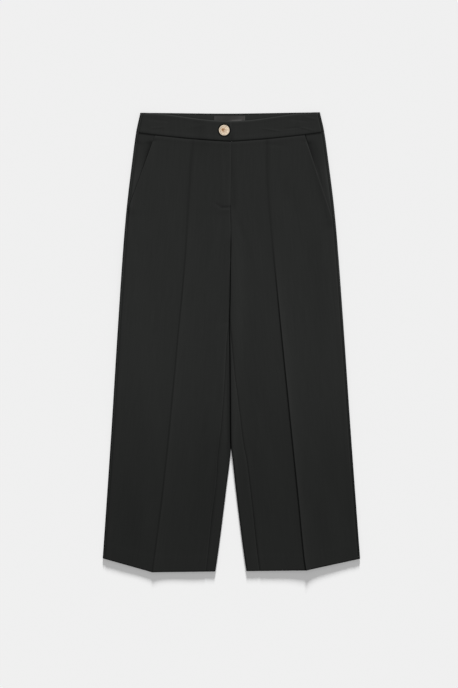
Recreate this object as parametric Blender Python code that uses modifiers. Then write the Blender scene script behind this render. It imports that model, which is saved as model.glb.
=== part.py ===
"""Straight-leg trousers with a contoured waistband, pressed and laid flat on their back.

The frame is +Z up and +Y towards the waist, and +X is the wearer's left. The origin lies on the
surface under the middle of the garment. Sizes are in millimetres and are turned to metres where
the meshes are made. A "drop" is a distance down from the waist's top edge, and "across" is a
distance from the middle line towards a leg's outer side.

Each leg is a pressed tube. The back panel lies flat, turns up and over at both edges and meets the
front panel at the seams on top. Every panel is a loft through rows, one row for each level.
"""

import math
from collections import namedtuple

import bmesh
import bpy

MM = 0.001

# Outline, from the flat garment
LENGTH = 975.0
WAIST_HALF = 190.6
WAIST_SEAM_HALF = 199.4

# Cloth
CLOTH = 1.2
HEM_CLOTH = 1.9
HEM_DEPTH = 26.0
HEM_STEP = 2.0
BAND_CLOTH = 1.8
FACING_CLOTH = 1.0
BAND_FACING_CLOTH = 0.8
LABEL_CLOTH = 0.4
SEAM_GAP = 0.3

# Heights of the pressed tubes
LEG_HEIGHT = 4.2
HEM_HEIGHT = 4.7
BAND_HEIGHT = 5.1
WAIST_STEP = 0.45
WAIST_FADE = 40.0

# Turned edges: how far a fold reaches in from the edge, and the length of its round
OUTER_FOLD = 2.6
INNER_FOLD = 2.2
FOLD_ROUND = 6.7
OPEN_EDGE = 0.05

# Waistband
BAND_DIP = 18.0
SEAM_MIDDLE = 61.6
SEAM_SLOPE = 0.054
SEAM_BEND = 0.00021
BACK_TOP_DIP = 2.0
BACK_SEAM_DIP = 3.5
BAND_ENDS_PAST_MIDDLE = 2.6
UNDERLAP = 40.0
OVERLAP_RISE_START = 80.0
OVERLAP_RISE_END = 46.0
FACING_INSET = 6.5
FACING_BELOW_TOP = 1.4
FACING_ABOVE_SEAM = 1.0

# Fly
FLY_END = 200.0
FLY_LAP_FADE = 16.0
FLY_LIFT_STARTS_TO_FADE = 4.0
FLY_LIFT_GONE = 22.0
FLY_OVER = 1.0
FLY_UNDER = 9.0
FLY_LIFT = 0.9
FLY_SINK = 1.0
FLY_LIFT_FLAT = 9.0
FLY_LIFT_FADE = 25.0
FLY_SINK_START = 2.0
FLY_SINK_END = 12.0
BACK_SEAM_ASIDE = 2.5

# Crotch and the gap between the legs
CROTCH = 279.0
CROTCH_START = 250.0
LEGS_APART = 0.3

# Slant pockets
POCKET_TACK = 58.0
POCKET_TACKED = 16.0
POCKET_LIFT = 2.0
POCKET_LIFT_FADE = 12.0
POCKET_CLOSES = 21.6
POCKET_UNDER_TOP = 22.0
POCKET_UNDER_END = 3.0
FACING_SHORT = 3.4
FACING_FALL = 1.6
FACING_SLOPE = 0.5
FACING_FALLS = 0.27
FACING_FALLEN = 0.95

# Button and its hole
BUTTON_ACROSS = -12.4
BUTTON_DROP = 38.1
BUTTON_RADIUS = 11.5
BUTTON_STAND = 0.4
BUTTON_THICK = 2.4
SHANK_RADIUS = 1.2
SLOT_WIDTH = 3.2
SLOT_AWAY = 13.0
SLOT_TO_MIDDLE = 7.0
SLOT_DEEP = 6.3
SLOT_END_STEPS = 8
ROUND_STEPS = 40
# The button's turned profile: share of its radius, and depth below its face
BUTTON_FACE = (
    (0.0, 0.5), (0.45, 0.6), (0.74, 0.9), (0.80, 0.3), (0.86, 0.0), (0.94, 0.15), (1.0, 0.8),
)
# The same for its back, as height over the back
BUTTON_BACK = ((1.0, 0.7), (0.93, 0.0))

# Blank label inside the back of the waistband
LABEL_START = -35.0
LABEL_END = 31.5
LABEL_TOP = 6.6
LABEL_DEPTH = 19.0

Point = namedtuple("Point", "drop across")

# The outer fold of either leg
SIDE_FOLD = (
    Point(0.0, 190.6),
    Point(40.0, 199.4),
    Point(100.0, 207.8),
    Point(200.0, 220.0),
    Point(300.0, 228.7),
    Point(480.0, 241.2),
    Point(690.0, 255.0),
    Point(947.0, 273.2),
)

# The line where the two halves and the two legs meet, towards the wearer's left
MIDDLE = (
    Point(58.0, 1.1),
    Point(130.0, 0.3),
    Point(185.0, -0.8),
    Point(225.0, 0.1),
    Point(262.0, 0.8),
    Point(330.0, 0.0),
    Point(385.0, -0.7),
    Point(440.0, -2.2),
    Point(600.0, -1.6),
    Point(690.0, -1.2),
    Point(735.0, 0.3),
    Point(790.0, -0.4),
    Point(975.0, -1.2),
)

# How far either leg's inner fold lies from that line, over the gap that the legs keep anyway
LEG_GAP = (
    Point(279.0, 0.0),
    Point(712.0, 0.0),
    Point(722.0, 1.1),
    Point(781.0, 7.9),
    Point(882.0, 20.2),
    Point(933.0, 27.0),
    Point(975.0, 33.2),
)

# How far in from the outer fold the side seam lies
SIDE_SEAM = (
    Point(0.0, 5.6),
    Point(300.0, 5.6),
    Point(700.0, 5.0),
    Point(975.0, 4.4),
)

# How a crease is pressed: a roof, and on it a ridge whose flank towards the wearer's right is
# steep. It is soft at the waist, grows sharp between two drops, and lies a little off its line.
Crease = namedtuple(
    "Crease", "steep_height steep_width soft_width roof_height roof_reach grows full aside"
)
CREASE_TOP_SHARE = 0.5
CREASE_GENTLE = 6.0

Leg = namedtuple(
    "Leg", "name side crease pressed inseam pocket_top pocket_end hem_outer hem_crease hem_inner"
)

# Crease: across against drop. Inseam: how far past the inner fold the seam has rolled onto the top.
RIGHT = Leg(
    name="right",
    side=-1,
    crease=(
        Point(52.0, 77.4),
        Point(143.0, 85.6),
        Point(305.0, 96.0),
        Point(488.0, 113.4),
        Point(695.0, 133.4),
        Point(784.0, 143.3),
        Point(848.0, 150.8),
        Point(911.0, 159.4),
        Point(975.0, 168.3),
    ),
    pressed=Crease(1.0, 4.5, 6.0, 0.7, 22.0, 150.0, 400.0, 2.2),
    inseam=(
        Point(279.0, -3.35),
        Point(430.0, -1.6),
        Point(482.0, 4.3),
        Point(557.0, 8.4),
        Point(663.0, 16.7),
        Point(724.0, 24.0),
        Point(790.0, 20.4),
        Point(857.0, 21.2),
        Point(975.0, 17.5),
    ),
    pocket_top=159.8,
    pocket_end=196.4,
    hem_outer=945.2,
    hem_crease=975.0,
    hem_inner=973.8,
)
LEFT = Leg(
    name="left",
    side=1,
    crease=(
        Point(52.0, 80.0),
        Point(150.0, 80.6),
        Point(245.0, 87.9),
        Point(424.0, 103.6),
        Point(643.0, 125.0),
        Point(823.0, 142.9),
        Point(942.0, 154.1),
        Point(972.0, 158.5),
    ),
    pressed=Crease(1.9, 2.9, 6.0, 2.8, 26.0, 180.0, 500.0, 0.9),
    inseam=(
        Point(279.0, -3.35),
        Point(440.0, -1.6),
        Point(493.0, 2.9),
        Point(557.0, 8.0),
        Point(599.0, 13.3),
        Point(684.0, 23.0),
        Point(735.0, 27.8),
        Point(854.0, 29.0),
        Point(975.0, 26.0),
    ),
    pocket_top=158.2,
    pocket_end=226.0,
    hem_outer=947.6,
    hem_crease=972.0,
    hem_inner=973.2,
)

# The rows of every leg panel, as drops at the front's middle line and inner fold
FRONT_TOP = SEAM_MIDDLE + SEAM_GAP / 2
HEM_AT_INNER = 973.5
ROW_DROPS = (
    FRONT_TOP, 75.0, 110.0, 150.0, 184.0, 196.0, 205.0, 216.6, 226.0, 236.5, 243.0, 250.0, 262.0,
    271.0, CROTCH, 288.0, 300.0, 322.0, 365.0, 420.0, 450.0, 475.0, 500.0, 535.0, 570.0, 610.0, 650.0,
    690.0, 714.0, 722.0, 745.0, 790.0, 840.0, 895.0, 946.0, 948.5, HEM_AT_INNER,
)
CROTCH_SHARE = (CROTCH - FRONT_TOP) / (HEM_AT_INNER - FRONT_TOP)

# Columns of a front, as the way from its inner boundary, its crease and its outer boundary, with
# shares of the stretches between them
NEAR_INNER = (0.0, 1.1, 2.2, 3.4)
INNER_SHARES = (0.15, 0.45, 0.75)
NEAR_CREASE = (-28.0, -12.0, -4.5, -2.9, 0.0, 2.2, 6.0, 13.0, 28.0)
OUTER_SHARES = (0.4, 0.75)
NEAR_OUTER = (14.0, 7.0, 2.5, 0.0)

# Columns of the other pieces
FOLD_STEPS = 6
PAST_FOLD = 2.0
TURN_SHORT = 0.6
FACING_SHARES = (0.0, 0.27, 0.5, 0.75, 1.0)
TUCK_SHARES = (0.3, 0.65, 1.0)
FACING_LAST_STEP = 4.0
BAND_ROWS = (0.0, 0.06, 0.35, 0.65, 0.94, 1.0)
BAND_FACING_ROWS = (0.0, 0.5, 1.0)
LAPPED_STEPS = 10
BAND_STEPS = 4

# Finishes: colour as linear values, roughness, metallic
CLOTH_BLACK = ("cloth_black", (0.021, 0.022, 0.0215), 0.85, 0.0)
LABEL_SATIN = ("label_satin", (0.05, 0.05, 0.048), 0.5, 0.0)
BUTTON_GOLD = ("button_gold", (0.62, 0.50, 0.35), 0.32, 1.0)


def mix(start, end, share):
    """The value that share of the way from start to end."""
    return start + (end - start) * share


def ease(value, start, end):
    """0 before start and 1 past end, smooth in between. It runs backwards where end is less."""
    share = min(1.0, max(0.0, (value - start) / (end - start)))
    return share * share * (3.0 - 2.0 * share)


def along(line, drop):
    """Where a line of the cut lies at this drop, on a smooth curve through its table's rows."""
    last = len(line) - 1
    i = next((k for k in range(1, last) if drop < line[k].drop), last) - 1

    def slope(k):
        before, after = line[max(k - 1, 0)], line[min(k + 1, last)]
        return (after.across - before.across) / (after.drop - before.drop)

    start, end = line[i], line[i + 1]
    span = end.drop - start.drop
    t = min(1.0, max(0.0, (drop - start.drop) / span))
    ends = mix(start.across, end.across, t * t * (3 - 2 * t))
    tangents = span * t * (1 - t) * ((1 - t) * slope(i) - t * slope(i + 1))
    return ends + tangents


def bell(across, half):
    """1 at the middle line and 0 at half, as a wave."""
    return 0.5 + 0.5 * math.cos(math.pi * min(1.0, abs(across) / half))


def waist_seam(across):
    """Drop of the seam under the front waistband."""
    return SEAM_MIDDLE - SEAM_SLOPE * abs(across) - SEAM_BEND * across * across


def back_seam(across):
    """Drop of the seam under the back waistband, which meets the front's at the outer folds."""
    return waist_seam(WAIST_SEAM_HALF) + BACK_SEAM_DIP * bell(across, WAIST_SEAM_HALF)


def front_top(across):
    """Drop of the front waistband's top edge, which dips to the middle."""
    return BAND_DIP * bell(across, WAIST_HALF)


def back_top(across):
    """Drop of the back waistband's top edge."""
    return BACK_TOP_DIP * bell(across, WAIST_HALF)


def leg_gap(drop):
    """How far a leg's inner fold lies from the middle line, below the crotch."""
    return LEGS_APART / 2 + max(0.0, along(LEG_GAP, drop))


def hem_share(drop, hem):
    """1 in the turned-up hem and 0 above it."""
    return ease(drop, hem - HEM_DEPTH - HEM_STEP, hem - HEM_DEPTH)


def pocket_line(leg, drop):
    """Across where the slant pocket's opening lies at this drop."""
    top_drop = waist_seam(leg.pocket_top)
    end = along(SIDE_FOLD, leg.pocket_end) - along(SIDE_SEAM, leg.pocket_end)
    return mix(leg.pocket_top, end, (drop - top_drop) / (leg.pocket_end - top_drop))


def pocket_open(drop):
    """0 where the pocket's mouth is tacked shut at its top, and 1 below the tack."""
    return ease(drop, POCKET_TACK - POCKET_TACKED, POCKET_TACK + POCKET_TACKED / 2)


def pocket_lift(leg, drop):
    """How far the front's slant edge gapes, from the tack at its top to the side seam."""
    closed = ease(drop, leg.pocket_end, leg.pocket_end + POCKET_CLOSES)
    return POCKET_LIFT * pocket_open(drop) * (1.0 - closed)


def lapped_height(across):
    """Height of the right front waistband, which climbs over the left one's end."""
    lapped = ease(across, OVERLAP_RISE_START, OVERLAP_RISE_END)
    return BAND_HEIGHT + (BAND_CLOTH + SEAM_GAP) * lapped


def turned(reach, half_height, wall, past):
    """A turned edge's two faces, as (in from the edge, height) of the outer and of the inner one.

    past is the way from the top of the fold: onto the top where it is positive, and round the
    fold and then along the underside where it is negative. reach is how far the fold goes in.
    """
    inner_reach = max(reach - wall, OPEN_EDGE)
    side_wall = wall * ease(reach, OPEN_EDGE, INNER_FOLD)
    centre = side_wall + inner_reach
    turn = min(math.pi, max(0.0, -past * math.pi / FOLD_ROUND))
    straight = max(past, 0.0, -past - FOLD_ROUND)
    outer = (
        reach * (1 - math.sin(turn)) + straight,
        half_height * (1 + math.cos(turn)),
    )
    inner = (
        centre - inner_reach * math.sin(turn) + straight,
        half_height + (half_height - wall) * math.cos(turn),
    )
    return outer, inner


class Row:
    """One level of a leg: a line from the inner edge over the crease to the outer fold.

    fly is how far a front runs past the middle line above the crotch, and None for a back.
    """

    def __init__(self, leg, drop, fly=None):
        self.leg = leg
        self.share = (drop - FRONT_TOP) / (HEM_AT_INNER - FRONT_TOP)
        self.front = self.control_drops(waist_seam)
        self.back = self.control_drops(back_seam)
        self.inner_drop, self.crease_drop, self.outer_drop = self.front
        self.inner = self.inner_edge(self.inner_drop, fly)
        self.crease = along(leg.crease, self.crease_drop)
        self.outer = along(SIDE_FOLD, self.outer_drop)
        self.top_inner = self.inner_edge(FRONT_TOP, fly)
        self.seam_in = along(SIDE_SEAM, self.outer_drop)
        below = ease(self.inner_drop, CROTCH_START, CROTCH)
        self.reach = mix(OPEN_EDGE, INNER_FOLD, below)
        self.rolled = along(leg.inseam, self.inner_drop)

    def control_drops(self, seam):
        """Drops at the inner edge, the crease and the outer fold, from this seam to the hem."""
        leg = self.leg
        starts = (seam(0.0), seam(leg.crease[0].across), seam(WAIST_SEAM_HALF))
        ends = (leg.hem_inner, leg.hem_crease, leg.hem_outer)
        levels = [mix(waist_seam(x), end, CROTCH_SHARE) for x, end in zip(
            (0.0, leg.crease[0].across, WAIST_SEAM_HALF), ends)]
        found = []
        for start, level, end in zip(starts, levels, ends):
            if self.share < CROTCH_SHARE:
                found.append(mix(start + SEAM_GAP / 2, level, self.share / CROTCH_SHARE))
            else:
                found.append(mix(level, end, (self.share - CROTCH_SHARE) / (1 - CROTCH_SHARE)))
        return found

    def inner_edge(self, drop, fly):
        """Across of the inner edge: the middle seam above the crotch, the inner fold below it."""
        middle = self.leg.side * along(MIDDLE, drop)
        apart = mix(SEAM_GAP / 2, leg_gap(drop), ease(drop, CROTCH_START, CROTCH))
        if fly is None:
            aside = BACK_SEAM_ASIDE * (1.0 - ease(drop, CROTCH_START, CROTCH))
            return middle + apart + self.leg.side * aside
        lapped = 1.0 - ease(drop, FLY_END - FLY_LAP_FADE, FLY_END)
        return middle + mix(apart, -fly, lapped)

    def drop_at(self, across, seam=waist_seam):
        """Drop of this row at a distance across. The rows near the waist follow its seam."""
        drops = self.front if seam is waist_seam else self.back
        top_crease = self.leg.crease[0].across
        if across < self.crease:
            share = (across - self.inner) / (self.crease - self.inner)
            level, first, second = mix(drops[0], drops[1], share), self.top_inner, top_crease
        else:
            share = (across - self.crease) / (self.outer - self.crease)
            level, first, second = mix(drops[1], drops[2], share), top_crease, WAIST_SEAM_HALF
        chord = mix(seam(first), seam(second), share)
        return level + (1 - self.share) * (seam(mix(first, second, share)) - chord)

    def half_height(self, across):
        """Half the pressed tube's height."""
        share = self.hem(across)
        return mix(LEG_HEIGHT, HEM_HEIGHT, share) / 2

    def hem(self, across):
        """1 where this row is in the turned-up hem."""
        ends = (self.leg.hem_inner, self.leg.hem_crease, self.leg.hem_outer)
        if across < self.crease:
            share = (across - self.inner) / (self.crease - self.inner)
            hem = mix(ends[0], ends[1], share)
        else:
            hem = mix(ends[1], ends[2], (across - self.crease) / (self.outer - self.crease))
        return hem_share(self.drop_at(across), hem)

    def wall(self, across):
        """The cloth's thickness."""
        return mix(CLOTH, HEM_CLOTH, self.hem(across))

    def sewn(self, across):
        """1 at the waist seam, fading away below it."""
        return math.exp((waist_seam(across) - self.drop_at(across)) / WAIST_FADE)

    def point(self, across, height, seam=waist_seam):
        """A point of this row in metres, in the object's frame."""
        y = LENGTH / 2 - self.drop_at(across, seam)
        return (self.leg.side * across * MM, y * MM, height * MM)


def crease_height(leg, row, across):
    """How far the pressed crease stands up from the front."""
    pressed = leg.pressed
    away = leg.side * (across - row.crease) - pressed.aside
    sharp = mix(CREASE_TOP_SHARE, 1.0, ease(row.crease_drop, pressed.grows, pressed.full))
    width = mix(pressed.soft_width, pressed.steep_width, sharp)
    steep = 1.0 - ease(-away, 0.0, width) if away < 0 else math.exp(-away / CREASE_GENTLE)
    roof = math.exp(-abs(away) / pressed.roof_reach)
    return sharp * (pressed.steep_height * steep + sharp * pressed.roof_height * roof)


def fly_height(leg, row, across):
    """How far the fly's overlap stands up, or its underlap lies down, near the middle line."""
    window = 1.0 - ease(
        row.inner_drop, FLY_END - FLY_LIFT_STARTS_TO_FADE, FLY_END + FLY_LIFT_GONE
    )
    if leg is RIGHT:
        away = max(0.0, across - row.inner - FLY_LIFT_FLAT)
        return FLY_LIFT * window * math.exp(-away / FLY_LIFT_FADE)
    return -FLY_SINK * window * (1.0 - ease(across, FLY_SINK_START, FLY_SINK_END))


def outer_boundary(leg, row):
    """Across where the front ends: at the side seam, or at the pocket's slant above it."""
    side_seam = row.outer - row.seam_in
    across = side_seam
    for _ in range(4):
        drop = row.drop_at(across)
        across = min(side_seam, pocket_line(leg, drop)) if drop < leg.pocket_end else side_seam
    return across - SEAM_GAP / 2


def front_lift(leg, row, across):
    """How far the whole front wall stands above the pressed tube's top."""
    edge = outer_boundary(leg, row)
    lift = pocket_lift(leg, row.outer_drop)
    slant = lift * math.exp(-max(0.0, edge - across) / POCKET_LIFT_FADE)
    band = lapped_height(across) if leg is RIGHT else BAND_HEIGHT
    free = slant + fly_height(leg, row, across)
    return mix(free, band - WAIST_STEP - LEG_HEIGHT, row.sewn(across))


def front_under(leg, row, across):
    """Height of the front's underside."""
    return 2 * row.half_height(across) - row.wall(across) + front_lift(leg, row, across)


def front_columns(leg, row):
    """The front's distances past the inner fold's top, from its inner to its outer boundary."""
    below = ease(row.inner_drop, CROTCH_START, CROTCH)
    start = mix(0.0, row.rolled + SEAM_GAP / 2, below)
    crease = row.crease - row.inner - row.reach
    edge = outer_boundary(leg, row) - row.inner - row.reach
    crease += leg.side * leg.pressed.aside
    ridge = [crease + leg.side * step for step in NEAR_CREASE]
    columns = [start + step for step in NEAR_INNER]
    columns += [mix(columns[-1], min(ridge), share) for share in INNER_SHARES]
    columns += sorted(ridge)
    columns += [mix(columns[-1], edge - NEAR_OUTER[0], share) for share in OUTER_SHARES]
    columns += [edge - step for step in NEAR_OUTER]
    return columns


def front_panel(leg):
    """A front, from the waistband to the hem, with the slant pocket's corner cut away."""
    outer_face, inner_face = [], []
    fly = FLY_OVER if leg is RIGHT else FLY_UNDER
    for drop in ROW_DROPS:
        row = Row(leg, drop, fly)
        outer_row, inner_row = [], []
        for past in front_columns(leg, row):
            near = row.inner + row.reach + past
            half, wall = row.half_height(near), row.wall(near)
            outer, inner = turned(row.reach, half, wall, past)
            lift = front_lift(leg, row, near)
            lift += crease_height(leg, row, near) * ease(past, 0.0, NEAR_INNER[-1])
            outer_row.append(row.point(row.inner + outer[0], outer[1] + lift))
            inner_row.append(row.point(row.inner + inner[0], inner[1] + lift))
        outer_face.append(outer_row)
        inner_face.append(inner_row)
    return wall_object(f"front_{leg.name}", outer_face, inner_face, CLOTH_BLACK)


def back_inner_columns(row):
    """The back's way round the inner edge, from its seam to just past the fold underneath."""
    below = ease(row.inner_drop, CROTCH_START, CROTCH)
    start = mix(-FOLD_ROUND, row.rolled - SEAM_GAP / 2, below)
    fold_start = min(0.0, start - TURN_SHORT)
    end = -FOLD_ROUND - PAST_FOLD
    steps = [mix(fold_start, end, k / FOLD_STEPS) for k in range(FOLD_STEPS + 1)]
    return [start, (start + fold_start) / 2, *steps]


def back_outer_columns(row):
    """The back's way round the outer fold, from the underside to the side seam on top."""
    start, end = -FOLD_ROUND - PAST_FOLD, row.seam_in - OUTER_FOLD - SEAM_GAP / 2
    steps = [mix(start, 0.0, k / FOLD_STEPS) for k in range(FOLD_STEPS + 1)]
    return [*steps, end]


def back_panel(leg):
    """A back, flat underneath and turned over both edges to the seams on top."""
    outer_face, inner_face = [], []
    for drop in ROW_DROPS:
        row = Row(leg, drop)
        outer_row, inner_row = [], []

        def add(edge, direction, reach, past):
            """Adds one column to both faces, on a turned edge."""
            near = edge + direction * reach
            half, wall = row.half_height(near), row.wall(near)
            for (away, height), cells in zip(
                turned(reach, half, wall, past), (outer_row, inner_row)
            ):
                seam = waist_seam if past > -FOLD_ROUND / 2 else back_seam
                cells.append(row.point(edge + direction * away, height, seam))

        for past in back_inner_columns(row):
            add(row.inner, 1, row.reach, past)
        wall = row.wall(row.crease)
        outer_row.append(row.point(row.crease, 0.0, back_seam))
        inner_row.append(row.point(row.crease, wall, back_seam))
        for past in back_outer_columns(row):
            add(row.outer, -1, OUTER_FOLD, past)
        outer_face.append(outer_row)
        inner_face.append(inner_row)
    return wall_object(f"back_{leg.name}", outer_face, inner_face, CLOTH_BLACK)


def pocket_facing(leg):
    """The pocket's facing: level with the back at the side seam, tucked under the front's slant."""
    upper, lower = [], []
    fly = FLY_OVER if leg is RIGHT else FLY_UNDER
    end = leg.pocket_end - FACING_SHORT
    outer_top = waist_seam(WAIST_SEAM_HALF)
    end_row = mix(FRONT_TOP, HEM_AT_INNER, (end - outer_top) / (leg.hem_outer - outer_top))
    drops = [*(drop for drop in ROW_DROPS if drop < end_row - FACING_LAST_STEP), end_row]
    for drop in drops:
        row = Row(leg, drop, fly)
        seam = row.outer - row.seam_in - SEAM_GAP / 2
        slant = outer_boundary(leg, row)
        tucked = mix(POCKET_UNDER_TOP, POCKET_UNDER_END, row.outer_drop / end)
        spots = [mix(seam, slant, share) for share in FACING_SHARES]
        spots += [slant - tucked * share for share in TUCK_SHARES]
        upper_row, lower_row = [], []
        width = max(seam - slant, SEAM_GAP)
        fall = min(FACING_FALL, FACING_SLOPE * width) * pocket_open(row.outer_drop)
        for across in spots:
            under = front_under(leg, row, min(across, slant)) - SEAM_GAP
            fallen = ease(seam - across, width * FACING_FALLS, width * FACING_FALLEN)
            top = mix(LEG_HEIGHT - fall * fallen, BAND_HEIGHT - WAIST_STEP, row.sewn(across))
            if across <= slant:
                top = min(top, under)
            upper_row.append(row.point(across, top))
            lower_row.append(row.point(across, top - FACING_CLOTH))
        upper.append(upper_row)
        lower.append(lower_row)
    return wall_object(f"pocket_facing_{leg.name}", upper, lower, CLOTH_BLACK)


def band_point(across, drop, height):
    """A point of the waistband in metres. Here across runs towards the wearer's left."""
    return (across * MM, (LENGTH / 2 - drop) * MM, height * MM)


def band_half(share):
    """Across of the waistband's outer fold, at this share of the way from its top to its seam."""
    return along(SIDE_FOLD, share * waist_seam(WAIST_SEAM_HALF))


def band_front(leg):
    """A front waistband: the right one laps over the left one's end, which runs on beneath."""
    upper, lower = [], []
    for share in BAND_ROWS:
        end = BAND_ENDS_PAST_MIDDLE if leg is RIGHT else UNDERLAP
        start = -end
        side_seam = band_half(share) - along(SIDE_SEAM, 0.0) - SEAM_GAP / 2
        spots = [mix(start, OVERLAP_RISE_START, k / LAPPED_STEPS) for k in range(LAPPED_STEPS)]
        spots += [mix(OVERLAP_RISE_START, side_seam, k / BAND_STEPS) for k in range(BAND_STEPS + 1)]
        upper_row, lower_row = [], []
        for across in spots:
            drop = mix(front_top(across), waist_seam(across) - SEAM_GAP / 2, share)
            height = lapped_height(across) if leg is RIGHT else BAND_HEIGHT
            upper_row.append(band_point(leg.side * across, drop, height))
            lower_row.append(band_point(leg.side * across, drop, height - BAND_CLOTH))
        upper.append(upper_row)
        lower.append(lower_row)
    return wall_object(f"waistband_{leg.name}", upper, lower, CLOTH_BLACK)


def band_back():
    """The back waistband, flat underneath and turned over both outer folds to its side seams."""
    outer_face, inner_face = [], []
    half_height = BAND_HEIGHT / 2
    seam_in = along(SIDE_SEAM, 0.0)
    folds = [mix(-FOLD_ROUND - PAST_FOLD, 0.0, k / FOLD_STEPS) for k in range(FOLD_STEPS + 1)]
    folds.append(seam_in - OUTER_FOLD - SEAM_GAP / 2)
    for share in BAND_ROWS:
        half = band_half(share)
        section = [(-half, 1, past) for past in reversed(folds)]
        section += [(half * k / 3, 0, -FOLD_ROUND) for k in (-2, -1, 0, 1, 2)]
        section += [(half, -1, past) for past in folds]
        outer_row, inner_row = [], []
        for edge, direction, past in section:
            on_top = past > -FOLD_ROUND / 2
            faces = turned(OUTER_FOLD, half_height, CLOTH, past)
            for (away, height), cells in zip(faces, (outer_row, inner_row)):
                across = edge + direction * away
                top = front_top(across) if on_top else back_top(across)
                seam = waist_seam(across) if on_top else back_seam(across)
                cells.append(band_point(across, mix(top, seam - SEAM_GAP / 2, share), height))
        outer_face.append(outer_row)
        inner_face.append(inner_row)
    return wall_object("waistband_back", outer_face, inner_face, CLOTH_BLACK)


def band_facing():
    """The facing inside the back waistband, which shows behind the front's dipped edge."""
    upper, lower = [], []
    bottom = CLOTH + SEAM_GAP
    for share in BAND_FACING_ROWS:
        half = band_half(share) - FACING_INSET
        upper_row, lower_row = [], []
        for k in range(-BAND_STEPS, BAND_STEPS + 1):
            across = half * k / BAND_STEPS
            top = back_top(across) + FACING_BELOW_TOP
            drop = mix(top, back_seam(across) - FACING_ABOVE_SEAM, share)
            upper_row.append(band_point(across, drop, bottom + BAND_FACING_CLOTH))
            lower_row.append(band_point(across, drop, bottom))
        upper.append(upper_row)
        lower.append(lower_row)
    return wall_object("waistband_facing", upper, lower, CLOTH_BLACK)


def label():
    """The blank label, which lies on the facing."""
    bottom = CLOTH + SEAM_GAP + BAND_FACING_CLOTH + SEAM_GAP
    size = (LABEL_END - LABEL_START, LABEL_DEPTH, LABEL_CLOTH)
    middle = band_point(
        (LABEL_START + LABEL_END) / 2, LABEL_TOP + LABEL_DEPTH / 2, bottom + LABEL_CLOTH / 2
    )
    mesh = bpy.data.meshes.new("label")
    shape = bmesh.new()
    bmesh.ops.create_cube(shape, size=1.0)
    bmesh.ops.scale(shape, vec=[s * MM for s in size], verts=shape.verts)
    shape.to_mesh(mesh)
    shape.free()
    obj = add_object("label", mesh, LABEL_SATIN)
    obj.location = middle
    return obj


def button():
    """The shank button: a turned disc with a raised rim, standing on a shank through its hole."""
    underlap_top = BAND_HEIGHT + SEAM_GAP
    back = BAND_HEIGHT + BAND_CLOTH + SEAM_GAP + BUTTON_STAND
    face = back + BUTTON_THICK
    profile = [(BUTTON_RADIUS * share, face - depth) for share, depth in BUTTON_FACE]
    profile += [(BUTTON_RADIUS * share, back + height) for share, height in BUTTON_BACK]
    profile += [(SHANK_RADIUS, back), (SHANK_RADIUS, underlap_top), (0.0, underlap_top)]
    mesh = bpy.data.meshes.new("button")
    points = [(radius * MM, 0.0, height * MM) for radius, height in profile]
    edges = [(k, k + 1) for k in range(len(points) - 1)]
    mesh.from_pydata(points, edges, [])
    obj = add_object("button", mesh, BUTTON_GOLD)
    obj.location = band_point(BUTTON_ACROSS, BUTTON_DROP, 0.0)
    screw = obj.modifiers.new("turned", "SCREW")
    screw.steps = screw.render_steps = ROUND_STEPS
    screw.use_merge_vertices = True
    screw.merge_threshold = 0.00001
    return obj


def cut_buttonhole(band):
    """Cuts the buttonhole through the lapped waistband, as a slot with round ends."""
    radius = SLOT_WIDTH / 2
    corners = []
    for end, turn in ((SLOT_TO_MIDDLE - radius, -0.5), (radius - SLOT_AWAY, 0.5)):
        for k in range(SLOT_END_STEPS + 1):
            angle = math.pi * (turn + k / SLOT_END_STEPS)
            corners.append((end + radius * math.cos(angle), radius * math.sin(angle)))
    bottom = BAND_HEIGHT - BAND_CLOTH
    mesh = bpy.data.meshes.new("buttonhole")
    shape = bmesh.new()
    ring = [shape.verts.new((x * MM, y * MM, bottom * MM)) for x, y in corners]
    face = shape.faces.new(ring)
    grown = bmesh.ops.extrude_face_region(shape, geom=[face])["geom"]
    raised = [part for part in grown if isinstance(part, bmesh.types.BMVert)]
    bmesh.ops.translate(shape, vec=(0.0, 0.0, SLOT_DEEP * MM), verts=raised)
    bmesh.ops.recalc_face_normals(shape, faces=shape.faces)
    shape.to_mesh(mesh)
    shape.free()
    cutter = bpy.data.objects.new("buttonhole_cutter", mesh)
    cutter.location = band_point(BUTTON_ACROSS, BUTTON_DROP, 0.0)
    cutter.hide_render = True
    cutter.display_type = "WIRE"
    collection("cutters").objects.link(cutter)
    cut = band.modifiers.new("buttonhole", "BOOLEAN")
    cut.operation = "DIFFERENCE"
    cut.object = cutter


def wall_object(name, outer, inner, finish):
    """A closed wall of cloth between two grids of points, joined round their rims."""
    rows, columns = len(outer), len(outer[0])
    mesh = bpy.data.meshes.new(name)
    shape = bmesh.new()
    faces = [[[shape.verts.new(p) for p in row] for row in grid] for grid in (outer, inner)]
    front, back = faces
    for i in range(rows - 1):
        for j in range(columns - 1):
            for grid in faces:
                corners = (grid[i][j], grid[i][j + 1], grid[i + 1][j + 1], grid[i + 1][j])
                shape.faces.new(corners)
    rim = [(0, j) for j in range(columns)] + [(i, columns - 1) for i in range(1, rows)]
    rim += [(rows - 1, j) for j in range(columns - 2, -1, -1)]
    rim += [(i, 0) for i in range(rows - 2, 0, -1)]
    for (i, j), (k, m) in zip(rim, rim[1:] + rim[:1]):
        shape.faces.new((front[i][j], front[k][m], back[k][m], back[i][j]))
    bmesh.ops.recalc_face_normals(shape, faces=shape.faces)
    shape.to_mesh(mesh)
    shape.free()
    return add_object(name, mesh, finish)


def collection(name):
    """The scene's collection of this name, made when it is first asked for."""
    found = bpy.data.collections.get(name)
    if found is None:
        found = bpy.data.collections.new(name)
        bpy.context.scene.collection.children.link(found)
    return found


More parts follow.
